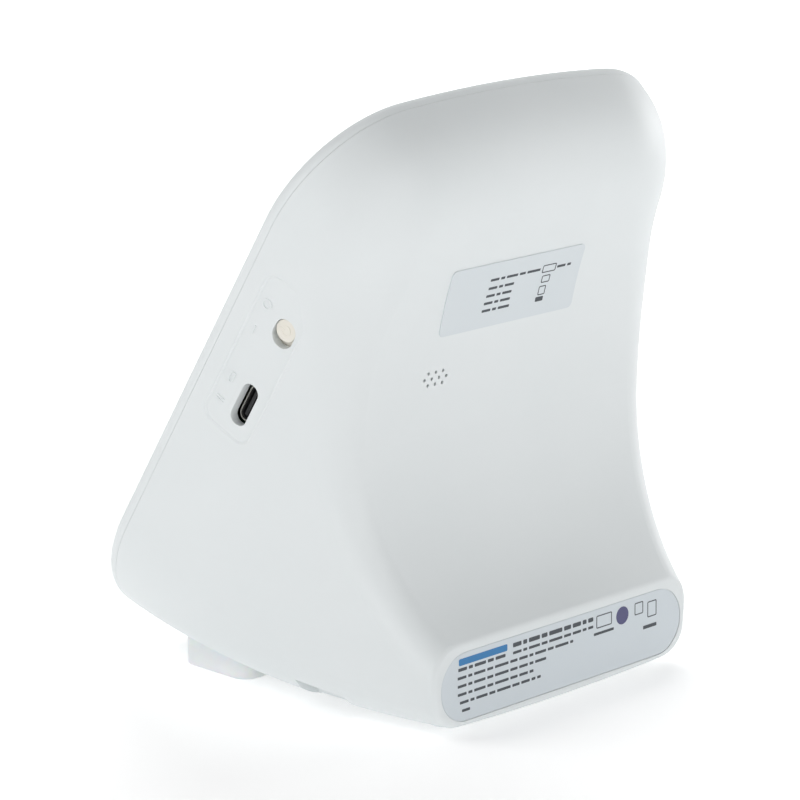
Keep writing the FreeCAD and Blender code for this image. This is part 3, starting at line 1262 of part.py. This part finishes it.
os.makedirs("parts", exist_ok=True)
for piece in nodes:
    piece.Shape.exportStep(f"parts/{piece.Label}.step")
    print(f"{piece.Label}: {len(piece.Shape.Solids)} solids, {piece.Shape.Volume:.1f} mm3")
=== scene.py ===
"""Looks of a desktop upper-arm blood pressure monitor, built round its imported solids."""
import math
import bpy
from mathutils import Matrix, Vector


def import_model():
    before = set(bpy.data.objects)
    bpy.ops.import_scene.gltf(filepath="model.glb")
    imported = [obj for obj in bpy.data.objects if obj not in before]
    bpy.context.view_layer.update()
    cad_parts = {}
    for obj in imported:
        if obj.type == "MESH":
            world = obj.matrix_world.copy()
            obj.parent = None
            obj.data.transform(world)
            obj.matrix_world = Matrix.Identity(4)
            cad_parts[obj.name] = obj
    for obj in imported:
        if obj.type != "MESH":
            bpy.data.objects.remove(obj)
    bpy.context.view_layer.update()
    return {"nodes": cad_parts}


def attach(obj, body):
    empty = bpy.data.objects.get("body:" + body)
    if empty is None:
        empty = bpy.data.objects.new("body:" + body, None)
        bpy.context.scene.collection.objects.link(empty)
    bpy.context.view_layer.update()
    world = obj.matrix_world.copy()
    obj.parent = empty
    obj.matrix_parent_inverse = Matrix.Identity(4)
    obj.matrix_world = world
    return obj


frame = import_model()
MM = 0.001

# Sizes that the pieces below share with the solids, in millimetres and degrees
LEAN = math.radians(33.6)
DRAFT = math.radians(11.4)
END_FACE = 49.498               # rear end face, along Y
END_MIDDLE = 9.4                # middle of that face above the case's underside
FACE_FOOT = END_FACE - 104.0    # where the front face's plane meets the case's underside, along Y
FOOT_HEIGHT = 1.0
HALF_WIDTH = 55.9
WINDOW_UP = 104.0               # middle of the display up the front face
WINDOW_BACK = 1.2
DISPLAY_FACE = 2.2              # how deep the display's glass lies behind the front face
KEY_UP, START_UP, KEY_ACROSS = 38.0, 34.0, 30.0
KEY_TOP = -0.6                  # the keys stand that proud of the front face
KNOB_UP, PORT_UP = 111.6, 90.0
KNOB_DEEP, PORT_DEEP = 16.15, 14.9
PORT_IN = 2.1                   # mouth of the USB-C socket inside the side wall's face
PANEL_RECESS = 0.3
KNOB_SUNK = 0.35                # the knob's crown below the panel
BACK_RADIUS = 94.0
BACK_MIDDLE = (END_FACE + 75.7, 58.7 + FOOT_HEIGHT)   # axis of the back above the waist: Y and Z
LABEL_THICKNESS = 0.2
LABEL_RECESS = 0.3              # how deep the rating label's seat is in the end face
LOT_MIDDLE = 87.5               # middle of the lot label above the case's underside
LOT_ACROSS = 1.0

ACROSS = Vector((1, 0, 0))
UP_FACE = Vector((0, math.sin(LEAN), math.cos(LEAN)))
INTO_CASE = Vector((0, math.cos(LEAN), -math.sin(LEAN)))


# Materials

def linear(hex_colour):
    """Linear colour with full alpha from an sRGB hex colour."""
    channels = [int(hex_colour[start:start + 2], 16) / 255 for start in (1, 3, 5)]
    return [c / 12.92 if c <= 0.04045 else ((c + 0.055) / 1.055) ** 2.4 for c in channels] + [1.0]


def add(tree, kind, inputs, **settings):
    """Add a node; an input that is another node's output is linked, and any other is a value."""
    node = tree.nodes.new("ShaderNode" + kind)
    for name, value in settings.items():
        setattr(node, name, value)
    for socket, value in inputs.items():
        if isinstance(value, bpy.types.NodeSocket):
            tree.links.new(value, node.inputs[socket])
        else:
            node.inputs[socket].default_value = value
    return node


def start_material(name, colour, roughness, **sockets):
    """A new material: returns it with its node tree, shader and Object coordinates."""
    material = bpy.data.materials.new(name)
    material.use_nodes = True
    tree = material.node_tree
    shader = tree.nodes["Principled BSDF"]
    shader.inputs["Base Color"].default_value = linear(colour)
    shader.inputs["Roughness"].default_value = roughness
    for socket, value in sockets.items():
        shader.inputs[socket.replace("_", " ")].default_value = value
    return material, tree, shader, add(tree, "TexCoord", {}).outputs["Object"]


def surface(name, colour, roughness, grain, depth, second=None, patch=15.0, spread=0.06,
            stretch=(1, 1, 1), **sockets):
    """Material whose surface has a fine grain, patches of a second colour and uneven roughness.

    The grain's width and depth and the patches' width are in millimetres; stretch draws both out."""
    material, tree, shader, place = start_material(name, colour, roughness, **sockets)
    drawn = add(tree, "Mapping", {"Vector": place, "Scale": stretch}).outputs["Vector"]
    patches = add(tree, "TexNoise", {"Vector": drawn, "Scale": 1 / (patch * MM), "Detail": 3.0,
                                     "Roughness": 0.55})
    fine = add(tree, "TexNoise", {"Vector": drawn, "Scale": 1 / (grain * MM), "Detail": 2.0,
                                  "Roughness": 0.6})
    if second:
        # The Mix node's colours A and B are its sockets 6 and 7, and their mix is its output 2
        mix = add(tree, "Mix", {"Factor": patches.outputs["Fac"], 6: linear(colour), 7: linear(second)},
                  data_type="RGBA")
        tree.links.new(mix.outputs[2], shader.inputs["Base Color"])
    uneven = add(tree, "MapRange", {"Value": patches.outputs["Fac"], "From Min": 0.3, "From Max": 0.7,
                                    "To Min": roughness - spread, "To Max": roughness + spread})
    tree.links.new(uneven.outputs["Result"], shader.inputs["Roughness"])
    bump = add(tree, "Bump", {"Height": fine.outputs["Fac"], "Strength": 1.0, "Distance": depth * MM})
    tree.links.new(bump.outputs["Normal"], shader.inputs["Normal"])
    return material


# ABS, injection moulded in a fine spark-eroded mould: matt, even off-white with a faint speckle
case_abs = surface("moulded_white_abs", "#E7EBEC", 0.52, 0.35, 0.006, "#E2E7E8", patch=30.0, IOR=1.53)
# ABS from a polished mould, inside the case: the same white with a soft gloss
tray_abs = surface("smooth_white_abs", "#DFE0DF", 0.32, 0.8, 0.003, "#D9DBDB", IOR=1.53)
# POM, moulded smooth: warm cream with a waxy gloss
cream_pom = surface("moulded_cream_pom", "#F0ECE2", 0.24, 0.9, 0.003, "#EBE7DC", IOR=1.48)
# POM, moulded: light grey with a waxy sheen
grey_pom = surface("moulded_grey_pom", "#C5C9CB", 0.36, 0.6, 0.004, "#BDC2C5", IOR=1.48)
# ABS keys, moulded in satin blue and grey
blue_abs = surface("moulded_blue_abs", "#3F7CA6", 0.42, 0.35, 0.005, "#3A749D", IOR=1.53)
key_abs = surface("moulded_key_abs", "#A3ACB1", 0.45, 0.35, 0.005, "#9CA6AB", IOR=1.53)
# Glass-filled nylon, moulded: black with greyish flow patches
black_nylon = surface("moulded_black_nylon", "#1F2022", 0.5, 0.5, 0.008, "#2A2B2D", IOR=1.53)
# Epoxy, transfer moulded: dull black with a fine sandy grain
epoxy = surface("moulded_epoxy", "#17181A", 0.62, 0.2, 0.008, "#202123", patch=5.0)
# Nitrile rubber, moulded: soft black, dusty where it was handled
nitrile = surface("moulded_nitrile", "#151515", 0.7, 0.4, 0.008, "#222222", patch=6.0)
# Mild steel, zinc plated: grey with bluish patches
zinc = surface("zinc_plated_steel", "#B9BBB8", 0.34, 0.3, 0.003, "#A9AEB2", patch=3.0, Metallic=1.0)
# Spring steel, nickel plated and formed: bright with fine draw lines along the strip
nickel = surface("nickel_plated_steel", "#C9C6BE", 0.22, 0.12, 0.002, "#BDBAB2", patch=4.0,
                 stretch=(1, 6, 6), Metallic=1.0)
# Deep-drawn steel can: satin metal with draw lines along its length
drawn_steel = surface("drawn_steel_can", "#AEB0B2", 0.3, 0.15, 0.003, "#A2A5A8", patch=6.0,
                      stretch=(0.1, 1, 1), Metallic=1.0)
# Black lacquer on a stamped steel frame: smooth and slightly uneven
lacquer = surface("lacquered_steel", "#232326", 0.38, 0.7, 0.004, "#2C2C30", patch=5.0)
# Shrink sleeve of a dry cell: plain printed film, tight and glossy
sleeve = surface("printed_cell_sleeve", "#3C4248", 0.26, 1.5, 0.004, "#363B41", patch=12.0,
                 Coat_Weight=0.3)
# Polyester film, satin: pale blue-grey, nearly flat
film = surface("satin_polyester_film", "#D6DDE2", 0.34, 0.5, 0.0015, "#D1D9DE", patch=25.0,
               spread=0.04)
# Polyester film, matt, for the lot print: nearly the case's own white
matt_film = surface("matt_polyester_film", "#DBE1E4", 0.46, 0.4, 0.0015, "#D6DDE1", patch=25.0,
                    spread=0.04)
# Ink, screen printed: dense and matt
grey_ink = surface("printed_grey_ink", "#3C4147", 0.55, 0.15, 0.001, "#474C52", patch=4.0)
blue_ink = surface("printed_blue_ink", "#2C75AE", 0.55, 0.15, 0.001, "#3A7FB5", patch=4.0)
violet_ink = surface("printed_violet_ink", "#4B4A72", 0.55, 0.15, 0.001, "#55547B", patch=4.0)
white_ink = surface("printed_white_ink", "#F0F2F2", 0.5, 0.15, 0.001, "#E6E9EA", patch=4.0)
# Ink printed on the back of the window: black, with the window's gloss over it
border_ink = surface("back_printed_black_ink", "#0C0D0F", 0.35, 0.3, 0.001, "#111214", patch=10.0)
# Liquid crystal, driven: the segments turn flat and blue-black
segment_ink = surface("driven_liquid_crystal", "#14181C", 0.3, 0.4, 0.0005, "#1A1F24", patch=8.0)
# Gold flash on copper pads
gold = surface("gold_plated_copper", "#E2B964", 0.28, 0.1, 0.001, "#D8AF5C", patch=2.0, Metallic=1.0)


def silicone_rubber():
    """Silicone, moulded clear and slightly milky: light goes in and comes out soft."""
    return surface("moulded_clear_silicone", "#F0F2F3", 0.38, 0.5, 0.006, "#EAEDEF", patch=8.0,
                   IOR=1.41, Transmission_Weight=0.12, Subsurface_Weight=0.4,
                   Subsurface_Scale=2.0 * MM)


def clear_acrylic():
    """Acrylic, cast and polished: clear, with a trace of unevenness in its gloss."""
    return surface("polished_clear_acrylic", "#FFFFFF", 0.03, 12.0, 0.004, spread=0.01, IOR=1.49,
                   Transmission_Weight=1.0)


def display_glass():
    """Liquid crystal glass over a reflector: grey-green, with a faint grid of pixels."""
    material, tree, shader, place = start_material("liquid_crystal_glass", "#A9B4AC", 0.22, IOR=1.5)
    turned = add(tree, "Mapping", {"Vector": place, "Rotation": (LEAN, 0, 0)}).outputs["Vector"]
    grid = add(tree, "TexBrick", {"Vector": turned, "Scale": 1 / (1.6 * MM), "Mortar Size": 0.03,
                                  "Color1": linear("#A9B4AC"), "Color2": linear("#ABB6AE"),
                                  "Mortar": linear("#A2ADA5")}, offset=0.0)
    tree.links.new(grid.outputs["Color"], shader.inputs["Base Color"])
    return material


def circuit_board():
    """Glass-fibre laminate with a green solder mask: copper tracks show as paler lanes under it."""
    material, tree, shader, place = start_material("green_solder_mask", "#1F5A3A", 0.34,
                                                   Coat_Weight=0.4)
    turned = add(tree, "Mapping", {"Vector": place, "Rotation": (LEAN, 0, 0)}).outputs["Vector"]
    tracks = add(tree, "TexBrick", {"Vector": turned, "Scale": 1 / (2.4 * MM), "Mortar Size": 0.16,
                                    "Color1": linear("#1D5636"), "Color2": linear("#205C3B"),
                                    "Mortar": linear("#2F7B50")}, offset=0.35, squash=1.7)
    raised = add(tree, "Bump", {"Height": tracks.outputs["Fac"], "Strength": 0.6,
                                "Distance": 0.03 * MM})
    tree.links.new(tracks.outputs["Color"], shader.inputs["Base Color"])
    tree.links.new(raised.outputs["Normal"], shader.inputs["Normal"])
    return material


silicone = silicone_rubber()
acrylic = clear_acrylic()
crystal = display_glass()
laminate = circuit_board()

FINISHES = [
    (case_abs, ["front_frame", "rear_shell", "battery_door"]),
    (acrylic, ["display_window"]),
    (crystal, ["display_module"]),
    (blue_abs, ["start_button"]),
    (key_abs, ["memory_button", "set_button"]),
    (black_nylon, ["button_switches", "slide_switch_body", "pump_head", "air_manifold"]),
    (laminate, ["main_board"]),
    (zinc, ["board_screws", "case_screws", "valve_plunger", "deflate_valve"]),
    (epoxy, ["board_chips", "pressure_sensor"]),
    (nickel, ["usb_socket", "valve_spring", "battery_contacts", "contact_springs"]),
    (cream_pom, ["power_slide_knob"]),
    (lacquer, ["speaker"]),
    (grey_pom, ["cuff_socket"]),
    (nitrile, ["cuff_seal_ring", "pump_diaphragm", "pump_saddle"]),
    (drawn_steel, ["pump_motor", "pump_crank"]),
    (silicone, ["air_hoses", "front_feet", "rear_feet"]),
    (tray_abs, ["battery_tray"]),
    (sleeve, ["battery_cells"]),
    (film, ["rating_label"]),
    (matt_film, ["lot_label"]),
]


def dress(thing, material):
    """Give an object one material and no other."""
    thing.data.materials.clear()
    thing.data.materials.append(material)


for material, names in FINISHES:
    for name in names:
        dress(frame["nodes"][name], material)


# Places on the case

def on_face(across, up, deep):
    """Point given across the front face, up along it and deep behind it."""
    foot = Vector((across, FACE_FOOT, FOOT_HEIGHT))
    return (foot + UP_FACE * up + INTO_CASE * deep) * MM


def placement(x_axis, y_axis, z_axis, point):
    """Place with those axes, and its origin on the point."""
    turn = Matrix((x_axis, y_axis, z_axis)).transposed().to_4x4()
    return Matrix.Translation(point) @ turn


def facing(across, up, deep):
    """Place with x across, y up the face and z out of the face."""
    return placement(ACROSS, UP_FACE, -INTO_CASE, on_face(across, up, deep))


def beside(deep, up, inside):
    """Place on the side wall with the power slide: x towards the back, y up the face, z outwards."""
    out = ACROSS * math.cos(DRAFT) + INTO_CASE * math.sin(DRAFT)
    back = INTO_CASE * math.cos(DRAFT) - ACROSS * math.sin(DRAFT)
    point = on_face(HALF_WIDTH, up, 0) + (back * deep - out * inside) * MM
    return placement(back, UP_FACE, out, point)


def behind(across, height, inside):
    """Place on the rear end face, read from behind: x to the reader's right, z out of the face."""
    point = Vector((across, END_FACE - inside, height + FOOT_HEIGHT)) * MM
    return placement(-ACROSS, Vector((0, 0, 1)), Vector((0, 1, 0)), point)


# Flat printed and moulded shapes

FULL_RING = 359.9   # degrees; a band that closed fully would meet its own start


def add_loop(curve, points):
    """Add a closed outline, in millimetres, to a flat curve."""
    spline = curve.splines.new("POLY")
    spline.points.add(len(points) - 1)
    for point, (x, y) in zip(spline.points, points):
        point.co = (x * MM, y * MM, 0, 1)
    spline.use_cyclic_u = True


def rounded(width, height, corner, middle=(0, 0), steps=8):
    """Outline of a rectangle with round corners, in millimetres."""
    points = []
    for quarter, (side, end) in enumerate(((1, 1), (-1, 1), (-1, -1), (1, -1))):
        x = middle[0] + side * (width / 2 - corner)
        y = middle[1] + end * (height / 2 - corner)
        for step in range(steps + 1):
            angle = math.pi / 2 * (quarter + step / steps)
            points.append((x + corner * math.cos(angle), y + corner * math.sin(angle)))
    return points


def arc_band(radius, width, first, last, middle=(0, 0), steps=40):
    """Outline of a band along an arc between two angles in degrees."""
    angles = [math.radians(first + (last - first) * step / steps) for step in range(steps + 1)]
    rims = [(radius + width / 2, angles), (radius - width / 2, angles[::-1])]
    return [(middle[0] + rim * math.cos(angle), middle[1] + rim * math.sin(angle))
            for rim, turns in rims for angle in turns]


def bar(width, height, middle=(0, 0)):
    """Outline of a block with slightly round corners."""
    return rounded(width, height, min(width, height) * 0.2, middle, steps=2)


def flat_piece(name, loops, thickness, place, material, body="case", bend=None):
    """Plate of even thickness, its lower side on the place; outlines inside outlines are holes."""
    curve = bpy.data.curves.new(name, "CURVE")
    curve.dimensions = "2D"
    curve.fill_mode = "BOTH"
    curve.extrude = thickness * MM / 2
    for loop in loops:
        add_loop(curve, loop)
    return settle(name, curve, thickness, place, material, body, bend)


def lettering(name, words, size, thickness, place, material, body="case"):
    """Printed lettering, centred on its place."""
    curve = bpy.data.curves.new(name, "FONT")
    curve.body = words
    curve.size = size * MM
    curve.align_x = "CENTER"
    curve.align_y = "CENTER"
    curve.extrude = thickness * MM / 2
    return settle(name, curve, thickness, place, material, body)


def settle(name, curve, thickness, place, material, body, bend=None):
    """Turn a flat curve into a mesh in its place, or bent to its surface, and put it on its body."""
    source = bpy.data.objects.new(name + "_outline", curve)
    bpy.context.scene.collection.objects.link(source)
    bpy.context.view_layer.update()
    evaluated = source.evaluated_get(bpy.context.evaluated_depsgraph_get())
    mesh = bpy.data.meshes.new_from_object(evaluated)
    bpy.data.objects.remove(source)
    mesh.name = name
    mesh.transform(Matrix.Translation((0, 0, thickness * MM / 2)))
    if bend:
        for vertex in mesh.vertices:
            vertex.co = bend(vertex.co)
    else:
        mesh.transform(place)
    piece = bpy.data.objects.new(name, mesh)
    bpy.context.scene.collection.objects.link(piece)
    dress(piece, material)
    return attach(piece, body)


# Display: back-printed border, numbers in seven segments, and their captions

def seven_segments(digit, height, left, low):
    """Outlines of a seven-segment digit."""
    width = height * 0.52
    thick = height * 0.11
    gap = thick * 0.14
    half = height / 2
    lit = {"0": "abcdef", "1": "bc", "2": "abged", "7": "abc", "8": "abcdefg"}[digit]
    level = {"a": height, "g": half, "d": 0}
    upright = {"f": (0, half), "b": (width, half), "e": (0, 0), "c": (width, 0)}
    loops = []
    for segment in lit:
        if segment in level:
            y = low + level[segment]
            first = left + thick / 2 + gap
            last = left + width - thick / 2 - gap
            loops.append([(first - thick / 2 + gap, y), (first, y + thick / 2), (last, y + thick / 2),
                          (last + thick / 2 - gap, y), (last, y - thick / 2), (first, y - thick / 2)])
        else:
            x = left + upright[segment][0]
            foot = low + upright[segment][1]
            first = foot + thick / 2 + gap
            last = foot + half - thick / 2 - gap
            loops.append([(x, first - thick / 2 + gap), (x + thick / 2, first), (x + thick / 2, last),
                          (x, last + thick / 2 - gap), (x - thick / 2, last), (x - thick / 2, first)])
    return loops


def display():
    """Border printed behind the window, and three readings with their captions on the display."""
    border = 0.05
    ink = 0.02
    right_end, captions = 28.0, -26.5
    flat_piece("window_border", [rounded(83.5, 89.5, 11.8), rounded(70, 76, 5)], border,
               facing(0, WINDOW_UP, WINDOW_BACK - border), border_ink)
    glass = DISPLAY_FACE - ink
    # Reading, height of its digits, their foot from the middle of the display, caption and unit
    rows = [("120", 19.0, 12.5, "SYS", "mmHg"), ("80", 19.0, -13.5, "DIA", "mmHg"),
            ("72", 13.0, -33.0, "PUL", "/min")]
    for digits, height, low, caption, unit in rows:
        pitch = height * 0.75
        loops = []
        for number, digit in enumerate(digits):
            left = right_end - pitch * (len(digits) - number) + height * 0.1
            loops.extend(seven_segments(digit, height, left, low))
        row = caption.lower()
        top = WINDOW_UP + low + height
        flat_piece(f"reading_{row}", loops, ink, facing(0, WINDOW_UP, glass), segment_ink)
        lettering(f"caption_{row}", caption, 4.2, ink, facing(captions, top - 2.5, glass), segment_ink)
        lettering(f"unit_{row}", unit, 2.8, ink, facing(captions, top - 7.0, glass), segment_ink)


def key_marks():
    """Start, memory and clock marks printed on the keys."""
    ink = 0.02
    flat_piece("start_mark", [arc_band(4.6, 0.9, -235, 55), bar(0.9, 5.0, (0, 4.2))], ink,
               facing(0, START_UP, KEY_TOP), white_ink, "start_key")
    lettering("memory_mark", "M", 6.5, ink, facing(-KEY_ACROSS, KEY_UP, KEY_TOP), white_ink, "memory_key")
    clock = [arc_band(2.9, 0.5, 0, FULL_RING), bar(0.45, 2.2, (0, 0.9)), bar(1.7, 0.45, (0.7, 0))]
    flat_piece("clock_mark", clock, ink, facing(KEY_ACROSS, KEY_UP, KEY_TOP), white_ink, "set_key")


def panel_marks():
    """Switch and socket marks, raised on the side panel, and the switch symbol on its knob."""
    dashes = [bar(0.55, 0.25, (across, -0.25)) for across in (-0.8, 0, 0.8)]
    # Name, outlines, and the place from the front edge and up the face
    marks = [("off_mark", [arc_band(1.05, 0.28, 0, FULL_RING)], 9.9, 114.0),
             ("on_mark", [bar(0.3, 2.1)], 9.7, 106.8),
             ("socket_mark", [rounded(1.3, 2.9, 0.6), rounded(0.75, 2.35, 0.35)], 9.9, 93.5),
             ("direct_current_mark", [bar(2.2, 0.25, (0, 0.45))] + dashes, 9.7, 87.1)]
    for name, loops, deep, up in marks:
        flat_piece(name, loops, 0.2, beside(deep, up, PANEL_RECESS), case_abs)
    flat_piece("knob_mark", [arc_band(1.05, 0.24, -145, 145), bar(1.1, 0.24, (-0.95, 0))], 0.08,
               beside(KNOB_DEEP, KNOB_UP, PANEL_RECESS + KNOB_SUNK), cream_pom, "power_slide")


# Labels: rows of plain blocks and blank frames

def on_back(point):
    """A point of the flat lot print on the round back: x across, y along the arc, z out of it."""
    radius = (BACK_RADIUS - LABEL_THICKNESS) * MM - point.z
    angle = math.asin((LOT_MIDDLE + FOOT_HEIGHT - BACK_MIDDLE[1]) / BACK_RADIUS) + point.y / radius
    return Vector((LOT_ACROSS * MM - point.x, BACK_MIDDLE[0] * MM - radius * math.cos(angle),
                   BACK_MIDDLE[1] * MM + radius * math.sin(angle)))


def blank_words(left, right, level, height):
    """A row of plain blocks in the lengths of words, between two ends."""
    blocks = []
    lengths = (2.6, 1.2, 3.4, 1.8, 4.1, 2.2)
    shortest, space = 0.5, 0.55
    while right - left > shortest:
        length = min(lengths[len(blocks) % len(lengths)], right - left)
        blocks.append(bar(length, height, (left + length / 2, level)))
        left += length + space
    return blocks


def frame_loops(width, height, middle):
    """Thin frame of a blank field."""
    return [rounded(width, height, 0.35, middle), rounded(width - 0.5, height - 0.5, 0.15, middle)]


def label_prints():
    """Rows of plain blocks and blank fields where a label has words and marks."""
    ink = 0.015
    plate = behind(0, END_MIDDLE, LABEL_RECESS - LABEL_THICKNESS)
    # Each row: its left and right end, its level and the height of its letters
    rows = [(-15.9, 9.2, 5.5, 0.95), (-32.4, -18.2, 3.9, 0.7), (-15.9, 9.2, 3.8, 0.6),
            (-32.6, 2.8, 2.1, 0.6), (-32.6, -5.7, 0.3, 0.6), (-32.6, -8.7, -1.5, 0.6),
            (-32.0, -7.4, -3.3, 0.6), (-31.4, -29.0, -5.1, 0.6)]
    words = [block for row in rows for block in blank_words(*row)]
    fields = frame_loops(5.0, 2.9, (12.7, 4.5)) + frame_loops(2.8, 2.8, (24.0, 4.6))
    fields += frame_loops(3.0, 3.6, (28.3, 3.6))
    fields += [bar(4.4, 0.8, (27.6, -0.2)), bar(6.4, 0.6, (12.6, 1.9))]
    flat_piece("rating_words", words + fields, ink, plate, grey_ink)
    flat_piece("rating_heading", [bar(14.6, 1.5, (-24.9, 5.5))], ink, plate, blue_ink)
    flat_piece("rating_spot", [rounded(4.0, 4.0, 1.99, (18.6, 4.2))], ink, plate, violet_ink)
    rows = [(-7.8, 7.4, 3.0, 0.6), (12.7, 17.0, 2.8, 0.6), (-7.8, -0.1, 1.0, 0.6),
            (-8.0, -0.3, -0.8, 0.6), (-8.2, -0.3, -2.5, 0.6), (-8.4, -0.1, -4.2, 0.6)]
    words = [block for row in rows for block in blank_words(*row)]
    fields = frame_loops(4.2, 1.9, (10.2, 2.9)) + frame_loops(2.6, 1.8, (9.9, 0.4))
    fields += frame_loops(2.2, 2.2, (9.5, -2.3)) + [bar(2.4, 1.1, (9.2, -4.3))]
    flat_piece("lot_words", words + fields, ink, None, grey_ink, bend=on_back)


def socket_core():
    """Black core of the USB-C socket: a lining that is painted shade inside its shell, and a tongue with
    its contacts.
    """
    mouth = HALF_WIDTH - PORT_IN - math.tan(DRAFT) * PORT_DEEP
    contacts, pitch = 12, 0.5

    def within(inside):
        """Place inside the socket, facing out of its mouth."""
        return placement(INTO_CASE, UP_FACE, ACROSS, on_face(mouth - inside, PORT_UP, PORT_DEEP))

    # The black lining is painted shade: a dark sheet over the shell's metal inner wall, where the socket
    # has only shade
    painted_shade_lining = [rounded(2.56, 8.3, 1.27), rounded(2.3, 8.04, 1.14)]
    flat_piece("socket_painted_shade_lining", painted_shade_lining, 6.6, within(6.9), epoxy)
    flat_piece("socket_tongue", [rounded(0.82, 6.82, 0.1)], 6.65, within(7.0), epoxy)
    pads = [bar(0.04, 0.3, (side * 0.43, pitch * (number - (contacts - 1) / 2)))
            for side in (-1, 1) for number in range(contacts)]
    flat_piece("socket_contacts", pads, 3.4, within(5.6), gold)


display()
key_marks()
panel_marks()
label_prints()
socket_core()


# Camera, light and stage

def aim(thing, azimuth, elevation, roll, distance, target):
    """Put a camera or lamp at a distance from its target, in metres, and turn it there.

    Azimuth 0 looks at the display and 90 at the power slide; all three angles are in degrees."""
    turn, rise, tilt = math.radians(azimuth), math.radians(elevation), math.radians(roll)
    back = Vector((math.sin(turn) * math.cos(rise), -math.cos(turn) * math.cos(rise), math.sin(rise)))
    level = Vector((math.cos(turn), math.sin(turn), 0))
    upright = back.cross(level)
    right = level * math.cos(tilt) + upright * math.sin(tilt)
    up = upright * math.cos(tilt) - level * math.sin(tilt)
    thing.matrix_world = placement(right, up, back, target + back * distance)


def camera():
    """Long lens from behind and to the right, a little above the monitor."""
    bpy.context.scene.view_settings.view_transform = "Standard"
    data = bpy.data.cameras.new("camera")
    data.sensor_width = 36.0
    data.lens = 162.5
    data.shift_x = -0.0356
    data.shift_y = -0.0367
    data.clip_end = 20.0
    thing = bpy.data.objects.new("camera", data)
    bpy.context.scene.collection.objects.link(thing)
    aim(thing, azimuth=134.785, elevation=13.433, roll=-0.615, distance=0.78474,
        target=Vector((0, 0.009498, 0.066)))
    bpy.context.scene.camera = thing


def lamp(name, azimuth, elevation, power, mirrored=True):
    """Round soft lamp; one that is not mirrored leaves no glare in the display's window."""
    data = bpy.data.lights.new(name, "AREA")
    data.shape = "DISK"
    data.size = 0.9
    data.energy = power
    thing = bpy.data.objects.new(name, data)
    thing.visible_glossy = mirrored
    thing.visible_transmission = mirrored
    bpy.context.scene.collection.objects.link(thing)
    aim(thing, azimuth, elevation, roll=0, distance=1.4, target=Vector((0, 0, 0.06)))


def to_the_eye(tree):
    """One for what the eye sees, also in metal and through glass, and nought for light on the object."""
    rays = add(tree, "LightPath", {}).outputs
    direct = add(tree, "Math", {0: rays["Is Camera Ray"], 1: rays["Is Transmission Ray"]},
                 operation="MAXIMUM")
    return add(tree, "Math", {0: direct.outputs["Value"], 1: rays["Is Glossy Ray"]},
               operation="MAXIMUM").outputs["Value"]


def world(strength):
    """White to the eye, dimmer as light."""
    surroundings = bpy.data.worlds.new("studio")
    bpy.context.scene.world = surroundings
    surroundings.use_nodes = True
    tree = surroundings.node_tree
    level = add(tree, "MapRange", {"Value": to_the_eye(tree), "To Min": strength, "To Max": 1.0})
    tree.nodes["Background"].inputs["Color"].default_value = (1, 1, 1, 1)
    tree.links.new(level.outputs["Result"], tree.nodes["Background"].inputs["Strength"])


def floor():
    """Plain white paper that also glows to the eye, more so far away, and keeps the object's shadow."""
    mesh = bpy.data.meshes.new("floor")
    half = 6.0
    corners = [(-half, -half, 0), (half, -half, 0), (half, half, 0), (-half, half, 0)]
    mesh.from_pydata(corners, [], [(0, 1, 2, 3)])
    thing = bpy.data.objects.new("floor", mesh)
    bpy.context.scene.collection.objects.link(thing)
    material, tree, shader, place = start_material("white_paper", "#F4F4F4", 0.9,
                                                   Emission_Color=(1, 1, 1, 1))
    away = add(tree, "VectorMath", {0: place}, operation="LENGTH")
    seen = add(tree, "MapRange", {"Value": away.outputs["Value"], "From Min": 0.3, "From Max": 1.6,
                                  "To Min": 0.4, "To Max": 1.0})
    glow = add(tree, "MapRange", {"Value": to_the_eye(tree), "To Min": 0.26,
                                  "To Max": seen.outputs["Result"]})
    tree.links.new(glow.outputs["Result"], shader.inputs["Emission Strength"])
    dress(thing, material)


camera()
world(0.12)
lamp("right", 95.0, 8.0, 5.3)
lamp("behind", 175.0, 8.0, 7.1)
lamp("left", 260.0, 8.0, 7.1)
lamp("high_right", 45.0, 40.0, 6.6, mirrored=False)
lamp("high_left", 310.0, 40.0, 10.2, mirrored=False)
floor()
